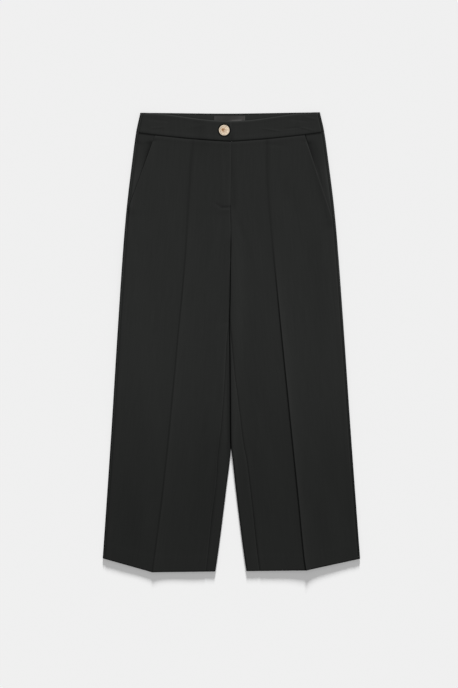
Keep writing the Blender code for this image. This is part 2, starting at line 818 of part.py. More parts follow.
def material(finish):
    """The finish's Principled material, made when it is first asked for."""
    name, colour, roughness, metallic = finish
    found = bpy.data.materials.get(name)
    if found is None:
        found = bpy.data.materials.new(name)
        found.use_nodes = True
        shader = found.node_tree.nodes["Principled BSDF"]
        shader.inputs["Base Color"].default_value = (*colour, 1.0)
        shader.inputs["Roughness"].default_value = roughness
        shader.inputs["Metallic"].default_value = metallic
    return found


def add_object(name, mesh, finish):
    """An object of this mesh and finish in the trousers' collection."""
    mesh.materials.append(material(finish))
    obj = bpy.data.objects.new(name, mesh)
    collection("trousers").objects.link(obj)
    return obj


def shade(objects):
    """Smooth shading with sharp edges kept at the cloth's rims."""
    for obj in objects:
        obj.data.shade_smooth()
        obj.data.set_sharp_from_angle(angle=math.radians(40.0))


def main():
    """Builds every piece in an empty scene."""
    for obj in list(bpy.data.objects):
        bpy.data.objects.remove(obj)
    made = []
    for leg in (RIGHT, LEFT):
        made += [back_panel(leg), pocket_facing(leg), front_panel(leg)]
    lapped, left_band = band_front(RIGHT), band_front(LEFT)
    made += [band_back(), band_facing(), lapped, left_band]
    shade(made)
    cut_buttonhole(lapped)
    label()
    button()


main()
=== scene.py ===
"""Dresses a pair of straight-leg trousers: pressed crepe suiting, laid flat and front up.

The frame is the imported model's: +Z up, +Y towards the waist, +X towards the wearer's left, and the
origin on the floor under the middle of the garment. Sizes are in millimetres until a mesh is made.
A "drop" is the way down from the waist's top edge, and "across" the way out from the middle line
towards a leg's side. An array's rows run down the garment and its columns across it.
"""

import logging
import math
from collections.abc import Callable
from dataclasses import dataclass
from enum import Enum

import bmesh
import bpy
import numpy as np
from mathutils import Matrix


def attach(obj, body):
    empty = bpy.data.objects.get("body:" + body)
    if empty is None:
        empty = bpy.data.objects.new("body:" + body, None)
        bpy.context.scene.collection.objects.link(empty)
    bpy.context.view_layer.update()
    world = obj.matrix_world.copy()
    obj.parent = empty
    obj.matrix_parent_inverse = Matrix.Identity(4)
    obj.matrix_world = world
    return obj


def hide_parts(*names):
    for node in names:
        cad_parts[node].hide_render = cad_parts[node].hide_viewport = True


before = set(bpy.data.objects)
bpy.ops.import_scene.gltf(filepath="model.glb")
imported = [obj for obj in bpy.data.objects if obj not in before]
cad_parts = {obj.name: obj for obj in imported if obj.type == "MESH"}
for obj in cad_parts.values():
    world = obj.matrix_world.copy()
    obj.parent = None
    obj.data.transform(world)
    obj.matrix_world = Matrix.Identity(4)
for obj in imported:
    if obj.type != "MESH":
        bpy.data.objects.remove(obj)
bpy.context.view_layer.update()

MM = 0.001
ROOT = "root"
Array = np.ndarray
Thing = bpy.types.Object
Material = bpy.types.Material
Socket = bpy.types.NodeSocket
log = logging.getLogger("trousers")


# Shared arithmetic


def mix(start: Array, end: Array, share: Array) -> Array:
    """The value that share of the way from start to end."""
    return start + (end - start) * share


def ease(value: Array, start: float, end: float) -> Array:
    """Rises from 0 at start to 1 at end as a smooth step, 3t^2 - 2t^3."""
    share = np.clip((value - start) / (end - start), 0.0, 1.0)
    return share * share * (3.0 - 2.0 * share)


def ridge(distance: Array, reach: float) -> Array:
    """A soft ridge's profile: 1 on its line, falling as exp(-(distance / reach)^2)."""
    return np.exp(-((distance / reach) ** 2))


def fill(knots: list, counts: tuple[int, ...]) -> Array:
    """Columns spread evenly between knots, with as many in each stretch as counts says."""
    stretches = [
        mix(start, end, np.linspace(0, 1, count, endpoint=False))
        for start, end, count in zip(knots, knots[1:], counts)
    ]
    return np.hstack([*stretches, knots[-1]])


@dataclass(frozen=True)
class Line:
    """A line of the cut: where it lies across, at a few drops."""

    drops: tuple[float, ...]
    across: tuple[float, ...]

    def at(self, drop: Array) -> Array:
        """The line at any drop, as a cubic Hermite curve with each station's mean slope."""
        x, y = np.array(self.drops), np.array(self.across)
        before = np.maximum(np.arange(x.size) - 1, 0)
        after = np.minimum(np.arange(x.size) + 1, x.size - 1)
        slope = (y[after] - y[before]) / (x[after] - x[before])
        i = np.clip(np.searchsorted(x, drop, side="right") - 1, 0, x.size - 2)
        span = x[i + 1] - x[i]
        t = np.clip((drop - x[i]) / span, 0.0, 1.0)
        ends = mix(y[i], y[i + 1], t * t * (3 - 2 * t))
        return ends + span * t * (1 - t) * ((1 - t) * slope[i] - t * slope[i + 1])


class Side(Enum):
    """The wearer's side, as the sign of X."""

    RIGHT = -1
    LEFT = 1


@dataclass(frozen=True)
class Cut:
    """The garment's shared lines, heights and thicknesses, the same as the model's."""

    length: float = 975.0
    waist_half: float = 190.6
    waist_seam_half: float = 199.4
    cloth: float = 1.2
    hem_cloth: float = 1.9
    hem_depth: float = 26.0
    band_cloth: float = 1.8
    facing_cloth: float = 1.0
    band_facing_cloth: float = 0.8
    seam_gap: float = 0.3
    leg_height: float = 4.2
    hem_height: float = 4.4
    band_height: float = 5.1
    outer_fold: float = 2.6
    inner_fold: float = 2.2
    crotch_fold: float = 0.55
    fold_round: float = 6.7
    open_edge: float = 0.05
    edge_roll: float = 0.45
    edge_reach: float = 1.5
    rise_start: float = 80.0
    rise_end: float = 46.0
    waist_step: float = 0.45
    waist_fade: float = 40.0
    band_dip: float = 18.0
    seam_middle: float = 61.6
    seam_slope: float = 0.054
    seam_bend: float = 0.00021
    back_top_dip: float = 2.0
    back_seam_dip: float = 3.5
    fly_end: float = 200.0
    fly_turn: float = 16.0
    crotch: float = 279.0
    crotch_start: float = 250.0
    legs_apart: float = -0.1
    back_aside: float = 2.5
    pocket_tack: float = 58.0
    pocket_tacked: float = 16.0
    pocket_lift: float = 2.0
    pocket_lift_fade: float = 12.0
    pocket_closes: float = 21.6
    hem_at_inner: float = 973.5
    side_fold: Line = Line(
        (0.0, 40.0, 100.0, 200.0, 300.0, 480.0, 690.0, 947.0),
        (190.6, 199.4, 207.8, 220.0, 228.7, 241.2, 255.0, 273.2),
    )
    middle: Line = Line(
        (58.0, 130.0, 185.0, 225.0, 262.0, 330.0, 385.0, 440.0, 600.0, 690.0, 735.0, 790.0, 975.0),
        (1.1, 0.3, -0.8, 0.1, 0.8, 0.0, -0.7, -2.2, -1.6, -1.2, 0.3, -0.4, -1.2),
    )
    gap: Line = Line(
        (279.0, 712.0, 722.0, 781.0, 882.0, 933.0, 975.0),
        (0.0, 0.0, 1.1, 7.9, 20.2, 27.0, 33.2),
    )
    side_seam: Line = Line((0.0, 300.0, 700.0, 975.0), (5.6, 5.6, 5.0, 4.4))

    @property
    def front_start(self) -> float:
        """Drop of the fronts' top edge at the middle line."""
        return self.seam_middle + self.seam_gap / 2

    @property
    def crotch_share(self) -> float:
        """The crotch's place between the fronts' top edge and the hem."""
        return (self.crotch - self.front_start) / (self.hem_at_inner - self.front_start)

    def bell(self, across: Array, half: float) -> Array:
        """1 at the middle line and 0 at half, as half a cosine wave."""
        return 0.5 + 0.5 * np.cos(np.pi * np.minimum(1.0, np.abs(across) / half))

    def waist_seam(self, across: Array) -> Array:
        """Drop of the seam under the front waistband: a line that slopes up and bends."""
        return self.seam_middle - self.seam_slope * np.abs(across) - self.seam_bend * across**2

    def back_seam(self, across: Array) -> Array:
        """Drop of the seam under the back waistband."""
        outer = self.waist_seam(self.waist_seam_half)
        return outer + self.back_seam_dip * self.bell(across, self.waist_seam_half)

    def front_top(self, across: Array) -> Array:
        """Drop of the front waistband's top edge."""
        return self.band_dip * self.bell(across, self.waist_half)

    def back_top(self, across: Array) -> Array:
        """Drop of the back waistband's top edge."""
        return self.back_top_dip * self.bell(across, self.waist_half)

    def top_painted_light(self, x: Array, drop: Array, painted_highlight: float = 0.0) -> Array:
        """Painted shade along the top edge, and a painted highlight along the front bands' top edge.
        """
        from_back = drop - self.back_top(x)
        edge = np.minimum(drop - self.front_top(x) - 0.9, from_back - 3.2)
        return (1.0 - 0.7 * ridge(from_back - 0.8, 1.6)) * (1.0 + painted_highlight * ridge(edge, 1.2))

    def leg_gap(self, drop: Array) -> Array:
        """How far a leg's inner fold lies from the middle line. The legs touch above the gap."""
        return self.legs_apart / 2 + np.maximum(0.0, self.gap.at(drop))

    def lapped_band(self, across: Array) -> Array:
        """Height of the right front waistband, which climbs over the left one's end."""
        lapped = 1.0 - ease(across, self.rise_end, self.rise_start)
        return self.band_height + (self.band_cloth + self.seam_gap) * lapped

    def opening(self, drop: Array) -> Array:
        """0 where a pocket's mouth is tacked shut at its top, and 1 below the tack."""
        start = self.pocket_tack - self.pocket_tacked
        return ease(drop, start, self.pocket_tack + self.pocket_tacked / 2)

    def band_half(self, share: Array) -> Array:
        """Across of the waistband's outer fold, from its top (0) to its seam (1)."""
        return self.side_fold.at(share * self.waist_seam(self.waist_seam_half))


CUT = Cut()


@dataclass(frozen=True)
class Fold:
    """A soft ridge pressed or worn into the cloth, or a trough where its height is negative.

    The same form serves as a streak of painted shade or painted highlight, whose height is then the
    change of painted light.
    """

    start_drop: float
    start_across: float
    end_drop: float
    end_across: float
    height: float
    reach: float

    def at(self, drop: Array, across: Array) -> Array:
        """Height over the cloth: a ridge's profile about the line, faded at both of its ends."""
        run = (self.end_drop - self.start_drop, self.end_across - self.start_across)
        length = math.hypot(*run)
        down, out = drop - self.start_drop, across - self.start_across
        along = (down * run[0] + out * run[1]) / length
        aside = (down * run[1] - out * run[0]) / length
        ends = ease(along, 0.0, length * 0.4) * (1.0 - ease(along, length * 0.6, length))
        return self.height * ridge(aside, self.reach) * ends


def total(folds: tuple[Fold, ...], drop: Array, across: Array) -> Array:
    """Height of several folds together, or the painted light of several streaks."""
    return sum(fold.at(drop, across) for fold in folds)


@dataclass(frozen=True)
class Crease:
    """How one leg's crease is pressed: a roof whose ridge has one steep flank.

    At the waist, where the iron hardly reached, the ridge stays low, and a painted shade darkens the
    crease's line there.
    """

    steep_height: float
    steep_width: float
    roof_height: float
    roof_reach: float
    grows: float
    full: float
    aside: float
    at_waist: float
    soft_width: float = 6.0
    gentle: float = 8.0
    # Painted shade along the crease near the waist: its depth, its reach, and the drops where it
    # fades.
    painted_shade: float = 0.14
    painted_shade_reach: float = 5.5
    painted_shade_fades: tuple[float, float] = (150.0, 400.0)

    def rise(self, drop: Array, beside: Array) -> Array:
        """Height over the cloth: soft at the waist and sharp further down.

        Args:
            drop: The way down the garment.
            beside: The way from the crease's line, towards the wearer's left.
        """
        away = beside - self.aside
        sharp = mix(self.at_waist, 1.0, ease(drop, self.grows, self.full))
        width = mix(self.soft_width, self.steep_width, sharp)
        flank = 1.0 - ease(-away / width, 0.0, 1.0)
        steep = np.where(away < 0, flank, np.exp(-away / self.gentle))
        roof = np.exp(-np.abs(away) / self.roof_reach)
        return sharp * (self.steep_height * steep + sharp * self.roof_height * roof)

    def tone(self, drop: Array, beside: Array) -> Array:
        """Painted shade along the crease: darkest on its line, and gone where the ridge stands up.
        """
        near_waist = 1.0 - ease(drop, *self.painted_shade_fades)
        return 1.0 - self.painted_shade * ridge(beside, self.painted_shade_reach) * near_waist


@dataclass(frozen=True)
class Leg:
    """One leg's own lines, the folds in its front, and its streaks of painted shade and highlight.
    """

    side: Side
    fly_over: float
    crease: Line
    inseam: Line
    pressed: Crease
    pocket_top: float
    pocket_end: float
    hem_outer: float
    hem_crease: float
    hem_inner: float
    folds: tuple[Fold, ...]
    painted_streaks: tuple[Fold, ...]

    @property
    def name(self) -> str:
        """The wearer's side in words."""
        return self.side.name.lower()

    def pocket_line(self, drop: Array) -> Array:
        """Across of the slant opening: a straight line from the waistband to the side seam."""
        top = CUT.waist_seam(self.pocket_top)
        end = CUT.side_fold.at(self.pocket_end) - CUT.side_seam.at(self.pocket_end)
        return mix(self.pocket_top, end, (drop - top) / (self.pocket_end - top))

    def pocket_open(self, drop: Array) -> Array:
        """0 where the pocket is tacked, 1 along the slant, and 0 again past its end."""
        closed = ease(drop, self.pocket_end, self.pocket_end + CUT.pocket_closes)
        return CUT.opening(drop) * (1.0 - closed)

    def tone(self, drop: Array, across: Array) -> Array:
        """The painted shade and highlight that the leg's streaks leave, at points of its top side.
        """
        return 1.0 + total(self.painted_streaks, drop, across)


RIGHT_LEG = Leg(
    side=Side.RIGHT,
    fly_over=1.0,
    crease=Line(
        (52.0, 143.0, 305.0, 488.0, 695.0, 784.0, 848.0, 911.0, 975.0),
        (77.4, 85.6, 96.0, 113.4, 133.4, 143.3, 150.8, 159.4, 168.3),
    ),
    inseam=Line(
        (279.0, 430.0, 482.0, 557.0, 663.0, 724.0, 790.0, 857.0, 975.0),
        (-3.35, -1.6, 4.3, 8.4, 16.7, 24.0, 20.4, 21.2, 17.5),
    ),
    pressed=Crease(1.0, 4.5, 0.7, 22.0, 150.0, 400.0, 2.2, at_waist=0.3),
    pocket_top=159.8,
    pocket_end=196.4,
    hem_outer=945.2,
    hem_crease=975.0,
    hem_inner=973.8,
    folds=(
        Fold(58, 12.2, 212, 12.2, -0.35, 1.3),
        Fold(190, 37, 206, 13, -0.7, 1.7),
        Fold(203.5, 24, 200.5, -6, -1.1, 1.9),
        Fold(52, 196, 62, 152, -0.45, 2.2),
        Fold(205, 14, 300, 30, -0.35, 7),
        Fold(215, 22, 360, 60, 0.4, 9),
        Fold(262, 6, 330, 40, -0.3, 5),
        Fold(438, 4, 456, 24, -0.35, 2.6),
        Fold(446, 3, 466, 20, 0.3, 2.4),
        Fold(420, 20, 470, 62, -0.25, 6),
        Fold(440, 14, 520, 50, 0.3, 8),
        Fold(90, 215, 700, 250, 2.4, 55),
        Fold(120, 120, 230, 175, 0.4, 12),
        Fold(240, 150, 420, 205, -0.5, 16),
        Fold(500, 190, 740, 170, 0.8, 22),
        Fold(640, 60, 880, 95, -0.6, 18),
        Fold(760, 185, 960, 200, 0.6, 18),
    ),
    # Streaks of painted shade where the height is negative, and of painted highlight where positive.
    painted_streaks=(
        Fold(440, 5.8, 860, 5.6, -0.26, 2.6),
        Fold(460, 11.8, 760, 13.4, 0.11, 3),
        Fold(600, 16.4, 960, 51.5, -0.14, 4),
        Fold(330, 40, 920, 60, -0.055, 28),
        Fold(54, 218, 66, 178, -0.24, 3.5),
        Fold(62, 188, 56, 148, -0.25, 2.2),
        Fold(60, 12.8, 206, 13.4, 0.09, 1.8),
        Fold(90, 197, 240, 214, 0.12, 3),
        Fold(700, 204, 1400, 250, -0.09, 40),
        Fold(560, 60, 1400, 85, -0.04, 40),
    ),
)
LEFT_LEG = Leg(
    side=Side.LEFT,
    fly_over=9.0,
    crease=Line(
        (52.0, 150.0, 245.0, 424.0, 643.0, 823.0, 942.0, 972.0),
        (80.0, 80.6, 87.9, 103.6, 125.0, 142.9, 154.1, 158.5),
    ),
    inseam=Line(
        (279.0, 440.0, 493.0, 557.0, 599.0, 684.0, 735.0, 854.0, 975.0),
        (-3.35, -1.6, 2.9, 8.0, 13.3, 23.0, 27.8, 29.0, 26.0),
    ),
    pressed=Crease(1.9, 2.9, 2.0, 30.0, 190.0, 500.0, 0.9, at_waist=0.15),
    pocket_top=158.2,
    pocket_end=226.0,
    hem_outer=947.6,
    hem_crease=972.0,
    hem_inner=973.2,
    folds=(
        Fold(52, 190, 62, 150, -0.45, 2.2),
        Fold(66, 60, 74, 132, -0.25, 3),
        Fold(210, 8, 290, 34, -0.3, 6),
        Fold(215, 7, 600, 5, 2.5, 16),
        Fold(480, 2, 860, 4, 1.6, 8),
        Fold(240, 40, 380, 66, 0.4, 12),
        Fold(140, 110, 250, 150, -0.4, 14),
        Fold(150, 190, 640, 215, 1.2, 24),
        Fold(560, 60, 800, 96, -0.7, 20),
        Fold(620, 195, 840, 190, -0.6, 20),
        Fold(780, 200, 950, 215, 0.7, 18),
    ),
    # Streaks of painted shade where the height is negative, and of painted highlight where positive.
    painted_streaks=(
        Fold(340, 42, 930, 62, -0.08, 28),
        Fold(61, 148, 60, 178, -0.24, 2.2),
        Fold(66, 199, 250, 216, 0.14, 4),
        Fold(60, 2.4, 182, 0.8, -0.12, 2.4),
        Fold(88, 180, 168, 199, -0.22, 2.6),
    ),
)
LEGS = (RIGHT_LEG, LEFT_LEG)


# The pressed form


def turned(reach: Array, half: Array, wall: Array, past: Array) -> tuple:
    """A turned edge, as a half ellipse between the tube's flat top and its flat underside.

    Args:
        reach: How far the fold goes in from the edge.
        half: Half the tube's height.
        wall: The cloth's thickness.
        past: The way from the top of the fold, inwards over the top where it is positive, and
            round the fold and along the underside where it is negative.

    Returns:
        The way in and the height, for the outer face and then for the inner face.
    """
    inner_reach = np.maximum(reach - wall, CUT.open_edge)
    centre = wall * ease(reach, CUT.open_edge, CUT.inner_fold) + inner_reach
    turn = np.clip(-past * np.pi / CUT.fold_round, 0.0, np.pi)
    straight = np.maximum(np.maximum(past, 0.0), -past - CUT.fold_round)
    return (
        (reach * (1 - np.sin(turn)) + straight, half * (1 + np.cos(turn))),
        (centre - inner_reach * np.sin(turn) + straight, half + (half - wall) * np.cos(turn)),
    )


def over_top(past: Array) -> Array:
    """1 on a turned edge's top side and 0 on its underside, eased round the fold."""
    return ease(past, -0.7 * CUT.fold_round, -0.3 * CUT.fold_round)


def points_at(x: Array, drop: Array, height: Array) -> Array:
    """Points in the garment's frame, still in millimetres."""
    return np.stack(np.broadcast_arrays(x, CUT.length / 2 - drop, height), axis=-1)


def levels(step: float, more: tuple[float, ...] = ()) -> Array:
    """The drops of a leg's rows: even, and denser at the hem's step and at its end.

    Args:
        step: The even rows' distance.
        more: Further rows, as distances below the first one.
    """
    start, end = CUT.front_start, CUT.hem_at_inner
    at_hem = end - CUT.hem_depth + np.arange(-4.0, 2.5, 0.7)
    fine = [start + np.array(more), at_hem, end - np.arange(0.0, 2.5, 0.6)]
    return np.unique(np.concatenate([np.arange(start, end, step), *fine]))


class Rows:
    """Levels of one leg, from its waist seam to its hem, as column arrays."""

    closes = (225.0, 250.0)
    shifts = (250.0, 275.0)
    tightens = (330.0, 600.0)
    hem_soft = 12.0
    # Depth and reach of the painted shade at the waist seam.
    seam_shade = 0.7
    seam_reach = 1.0

    def __init__(self, leg: Leg, drops: Array, front: bool = True) -> None:
        """Works out where the leg's lines lie at each level.

        Args:
            leg: The leg.
            drops: The levels, as drops at the inner edge.
            front: Whether the piece is a front, which runs past the middle line at the fly.
        """
        self.leg = leg
        self.front = front
        start = CUT.front_start
        self.share = ((drops - start) / (CUT.hem_at_inner - start))[:, None]
        self.hems = (leg.hem_inner, leg.hem_crease, leg.hem_outer)
        self.knees = (0.0, leg.crease.across[0], CUT.waist_seam_half)
        self.front_drops = self.control(CUT.waist_seam)
        self.back_drops = self.control(CUT.back_seam)
        self.inner_drop, self.crease_drop, self.outer_drop = self.front_drops
        self.inner = self.inner_edge(self.inner_drop)
        self.top_inner = self.inner_edge(np.array([[start]]))
        self.crease = leg.crease.at(self.crease_drop)
        self.outer = CUT.side_fold.at(self.outer_drop)
        self.seam_in = CUT.side_seam.at(self.outer_drop)
        self.below = ease(self.inner_drop, CUT.crotch_start, CUT.crotch)
        self.tight = mix(CUT.crotch_fold, 1.0, ease(self.inner_drop, *self.tightens))
        self.reach = mix(CUT.open_edge, CUT.inner_fold, self.below * self.tight)
        self.rolled = leg.inseam.at(self.inner_drop)

    def control(self, seam: Callable) -> list[Array]:
        """Drops at the inner edge, crease and side, each straight down to the crotch's level, and
        straight again to the hem.

        Args:
            seam: Gives the drop of the seam above for a place across.
        """
        upper = self.share / CUT.crotch_share
        lower = (self.share - CUT.crotch_share) / (1 - CUT.crotch_share)
        found = []
        for across, hem in zip(self.knees, self.hems):
            level = mix(CUT.waist_seam(across), hem, CUT.crotch_share)
            above = mix(seam(across) + CUT.seam_gap / 2, level, upper)
            found.append(np.where(upper < 1, above, mix(level, hem, lower)))
        return found

    def inner_edge(self, drop: Array) -> Array:
        """Across of the inner edge: the middle seam above the crotch, the inner fold below it."""
        side = self.leg.side.value
        line = side * CUT.middle.at(drop)
        gap = mix(CUT.seam_gap / 2, CUT.leg_gap(drop), ease(drop, *self.closes))
        if not self.front:
            return line + gap + side * CUT.back_aside * (1.0 - ease(drop, *self.shifts))
        lapped = 1.0 - ease(drop, CUT.fly_end - CUT.fly_turn, CUT.fly_end)
        return line + mix(gap, -self.leg.fly_over, lapped)

    def split(self, across: Array, values: tuple[Array, ...]) -> Array:
        """Values at the inner edge, crease and side, carried across in two straight stretches."""
        inward = (across - self.inner) / (self.crease - self.inner)
        outward = (across - self.crease) / (self.outer - self.crease)
        inside = mix(values[0], values[1], inward)
        return np.where(across < self.crease, inside, mix(values[1], values[2], outward))

    def drop_at(self, across: Array, top: Array = 1.0) -> Array:
        """Drop of each point of a level, which follows the waist's curved seam near the top.

        Args:
            across: The points' places.
            top: 1 on the garment's top side and 0 on its underside.
        """
        knees = (self.top_inner, *self.knees[1:])
        place = self.split(across, knees)
        found = []
        for drops, seam in ((self.back_drops, CUT.back_seam), (self.front_drops, CUT.waist_seam)):
            chord = self.split(across, tuple(seam(knee) for knee in knees))
            found.append(self.split(across, drops) + (1 - self.share) * (seam(place) - chord))
        return mix(*found, top)

    def below_seam(self, across: Array) -> Array:
        """The way down from the waist seam."""
        return self.drop_at(across) - CUT.waist_seam(across)

    def seam_painted_shade(self, across: Array) -> Array:
        """Painted shade at the waist seam: a dark line where the cloth goes into it."""
        return 1.0 - self.seam_shade * ridge(self.below_seam(across), self.seam_reach)

    def above_hem(self, across: Array) -> Array:
        """The way up from the hem."""
        return self.split(across, self.hems) - self.drop_at(across)

    def hem(self, across: Array) -> Array:
        """1 in the turned-up hem and 0 above it."""
        return ease(CUT.hem_depth - self.above_hem(across), -self.hem_soft, 0.0)

    def half(self, across: Array) -> Array:
        """Half the pressed tube's height."""
        return mix(CUT.leg_height, CUT.hem_height, self.hem(across)) / 2

    def wall(self, across: Array) -> Array:
        """The cloth's thickness."""
        return mix(CUT.cloth, CUT.hem_cloth, self.hem(across))

    def slant(self) -> Array:
        """Across where the front ends: at the side seam, or at the slant opening above it."""
        across = side_seam = self.outer - self.seam_in
        for _ in range(6):
            drop = self.drop_at(across)
            line = np.minimum(side_seam, self.leg.pocket_line(drop))
            across = np.where(drop < self.leg.pocket_end, line, side_seam)
        return across - CUT.seam_gap / 2

    def sewn(self, across: Array) -> Array:
        """1 at the waist seam, where the band holds the cloth up, fading down the leg."""
        return np.exp(-self.below_seam(across) / CUT.waist_fade)

    def place(self, across: Array, height: Array, top: Array = 1.0) -> Array:
        """Points of these levels in the garment's frame."""
        return points_at(self.leg.side.value * across, self.drop_at(across, top), height)


# Meshes


def cloth_uv(points: Array, grain: int, start: float) -> Array:
    """The cut laid flat, in metres: u over the cloth from its grain line, v down it.

    Args:
        points: The cloth's outer face.
        grain: The column that the weave's warp follows.
        start: Drop at which v starts, so that v reads as a drop on every piece.
    """
    steps = np.linalg.norm(np.diff(points, axis=1), axis=2)
    u = np.hstack([np.zeros((points.shape[0], 1)), np.cumsum(steps, axis=1)])
    u = u - u[:, grain : grain + 1]
    fall = np.linalg.norm(np.diff(points[:, grain], axis=0), axis=1)
    v = np.concatenate([[0.0], np.cumsum(fall)])[:, None] + start
    return np.stack([u, np.broadcast_to(v, u.shape)], axis=-1) * MM


def mesh_object(
    name: str, points: Array, faces: Array, uv: Array | None = None, **values: Array
) -> Thing:
    """A smooth-shaded object from arrays, with its place in its mesh.

    Args:
        name: The piece's name.
        points: Its points in millimetres.
        faces: Four point numbers for each face.
        uv: Each point's place on the flat cloth, in metres.
        values: Further values for each point, which its material reads by their names.

    Returns:
        The object, linked to the scene.
    """
    mesh = bpy.data.meshes.new(name)
    mesh.vertices.add(len(points))
    mesh.vertices.foreach_set("co", (points * MM).astype(np.float32).ravel())
    mesh.loops.add(faces.size)
    mesh.loops.foreach_set("vertex_index", faces.astype(np.int32).ravel())
    mesh.polygons.add(len(faces))
    mesh.polygons.foreach_set("loop_start", np.arange(0, faces.size, 4, dtype=np.int32))
    if uv is not None:
        layer = mesh.uv_layers.new(name="cut")
        layer.data.foreach_set("uv", uv[faces.ravel()].astype(np.float32).ravel())
    for key, value in values.items():
        layer = mesh.attributes.new(key, "FLOAT", "POINT")
        layer.data.foreach_set("value", value.astype(np.float32).ravel())
    mesh.update(calc_edges=True)
    mesh.validate()
    mesh.shade_smooth()
    made = bpy.data.objects.new(name, mesh)
    bpy.context.scene.collection.objects.link(made)
    return made


def wall_object(
    name: str, outer: Array, inner: Array, grain: int, start: float, tone: Array
) -> Thing:
    """A closed wall of cloth between two grids of points, joined round their rims.

    Args:
        name: The piece's name.
        outer: The outer face's points, as rows by columns by 3.
        inner: The inner face's points, the same way.
        grain: The column that the weave follows.
        start: The drop at the first row, for the weave.
        tone: The painted light and shade on the cloth at each point, where 1 is plain cloth.

    Returns:
        The object, with its faces pointing out of the cloth.
    """
    count = outer[..., 0].size
    number = np.arange(count).reshape(outer.shape[:2])
    corners = [number[:-1, :-1], number[:-1, 1:], number[1:, 1:], number[1:, :-1]]
    quads = np.stack(corners, axis=-1).reshape(-1, 4)
    rim = np.concatenate([number[0, :-1], number[:-1, -1], number[-1, :0:-1], number[:0:-1, 0]])
    onward = np.roll(rim, -1)
    sides = np.stack([onward, rim, rim + count, onward + count], axis=-1)
    faces = np.concatenate([quads, quads[:, ::-1] + count, sides])
    across, down = np.diff(outer, axis=1)[:-1], np.diff(outer, axis=0)[:, :-1]
    if np.sum(np.cross(across, down) * (outer - inner)[:-1, :-1]) < 0:
        faces = faces[:, ::-1]
    points = np.concatenate([outer.reshape(-1, 3), inner.reshape(-1, 3)])
    uv = np.tile(cloth_uv(outer, grain, start).reshape(-1, 2), (2, 1))
    made = mesh_object(name, points, faces, uv, tone=np.tile(tone.ravel(), 2))
    made.data.set_sharp_from_angle(angle=math.radians(50.0))
    return made


def broad_lay(x: Array, y: Array, phase: float) -> Array:
    """The pressed cloth's slow unevenness: three long waves at odd lengths, from -1 to 1."""
    wave = np.sin(x / 21.0 + 1.4 * np.sin(y / 130.0 + phase)) * np.sin(y / 88.0 + phase)
    wave += 0.7 * np.sin(x / 47.0 - y / 61.0 + 2.0 * phase)
    wave += 0.5 * np.sin(x / 12.5 + y / 210.0 + 3.0 * phase) * np.sin(y / 37.0 - phase)
    return wave / 2.2


# Finishes


def linear(code: str, alpha: float = 1.0) -> tuple[float, float, float, float]:
    """An sRGB hex code, such as #2a2b2a, as the linear colour that the shaders take."""
    parts = [int(code[k : k + 2], 16) / 255 for k in (1, 3, 5)]
    channels = [p / 12.92 if p <= 0.04045 else ((p + 0.055) / 1.055) ** 2.4 for p in parts]
    return (*channels, alpha)


class Nodes:
    """The nodes of one new material, whose Principled shader is there from the start."""

    def __init__(self, name: str) -> None:
        """Starts the material."""
        self.material = bpy.data.materials.new(name)
        self.material.use_nodes = True
        self.tree = self.material.node_tree

    def plug(self, node: bpy.types.Node, values: dict) -> None:
        """Sets a node's inputs, by name or number, each to the socket it reads or to a value."""
        for key, value in values.items():
            if isinstance(value, Socket):
                self.tree.links.new(value, node.inputs[key])
            else:
                node.inputs[key].default_value = value

    def add(
        self, kind: str, values: dict | None = None, output: int | str = 0, **settings: str
    ) -> Socket:
        """Adds one node.

        Args:
            kind: The node's type, without "ShaderNode".
            values: What its inputs read, or their values.
            output: The output that is wanted, by name or number.
            settings: The node's settings.

        Returns:
            The output's socket.
        """
        made = self.tree.nodes.new(f"ShaderNode{kind}")
        for name, value in settings.items():
            setattr(made, name, value)
        self.plug(made, values or {})
        return made.outputs[output]

    def noise(self, place: Socket, scale: float, detail: float = 2.0) -> Socket:
        """A noise texture's grey value."""
        return self.add("TexNoise", {"Vector": place, "Scale": scale, "Detail": detail}, "Fac")

    def threads(
        self, place: Socket, width: float, way: str, distortion: float, detail: float = 2.0
    ) -> Socket:
        """Parallel threads of a width in millimetres, as a wave along X or Y."""
        scale = math.pi / (10.0 * width * MM)
        wave = {"Vector": place, "Scale": scale, "Distortion": distortion, "Detail": detail}
        return self.add("TexWave", wave, "Fac", bands_direction=way)

    def value(self, name: str) -> Socket:
        """A value that the mesh carries at each point."""
        return self.add("Attribute", output="Fac", attribute_name=name)

    def spread(
        self, value: Socket, start: tuple, end: tuple = (0.0, 1.0), **settings: str
    ) -> Socket:
        """Carries a value from the range start over to the range end."""
        names = ("Value", "From Min", "From Max", "To Min", "To Max")
        return self.add("MapRange", dict(zip(names, (value, *start, *end))), **settings)

    def math(self, operation: str, *values: Socket | float) -> Socket:
        """A Math node."""
        return self.add("Math", dict(enumerate(values)), operation=operation)

    def blend(self, share: Socket, first: str, second: str) -> Socket:
        """A mix of two hex colours."""
        values = {"Factor": share, 6: linear(first), 7: linear(second)}
        return self.add("Mix", values, 2, data_type="RGBA")

    def toned(self, colour: Socket, tone: Socket) -> Socket:
        """A colour made deeper or lighter by a factor, such as the painted light."""
        return self.add("VectorMath", {0: colour, "Scale": tone}, operation="SCALE")

    def bump(self, strength: float, distance: float, height: Socket) -> Socket:
        """A bump for the shader's Normal, with its distance in millimetres."""
        values = {"Strength": strength, "Distance": distance * MM, "Height": height}
        return self.add("Bump", values)

    def finish(self, values: dict) -> Material:
        """Sets the shader's own inputs and gives the material."""
        self.plug(self.tree.nodes["Principled BSDF"], values)
        return self.material


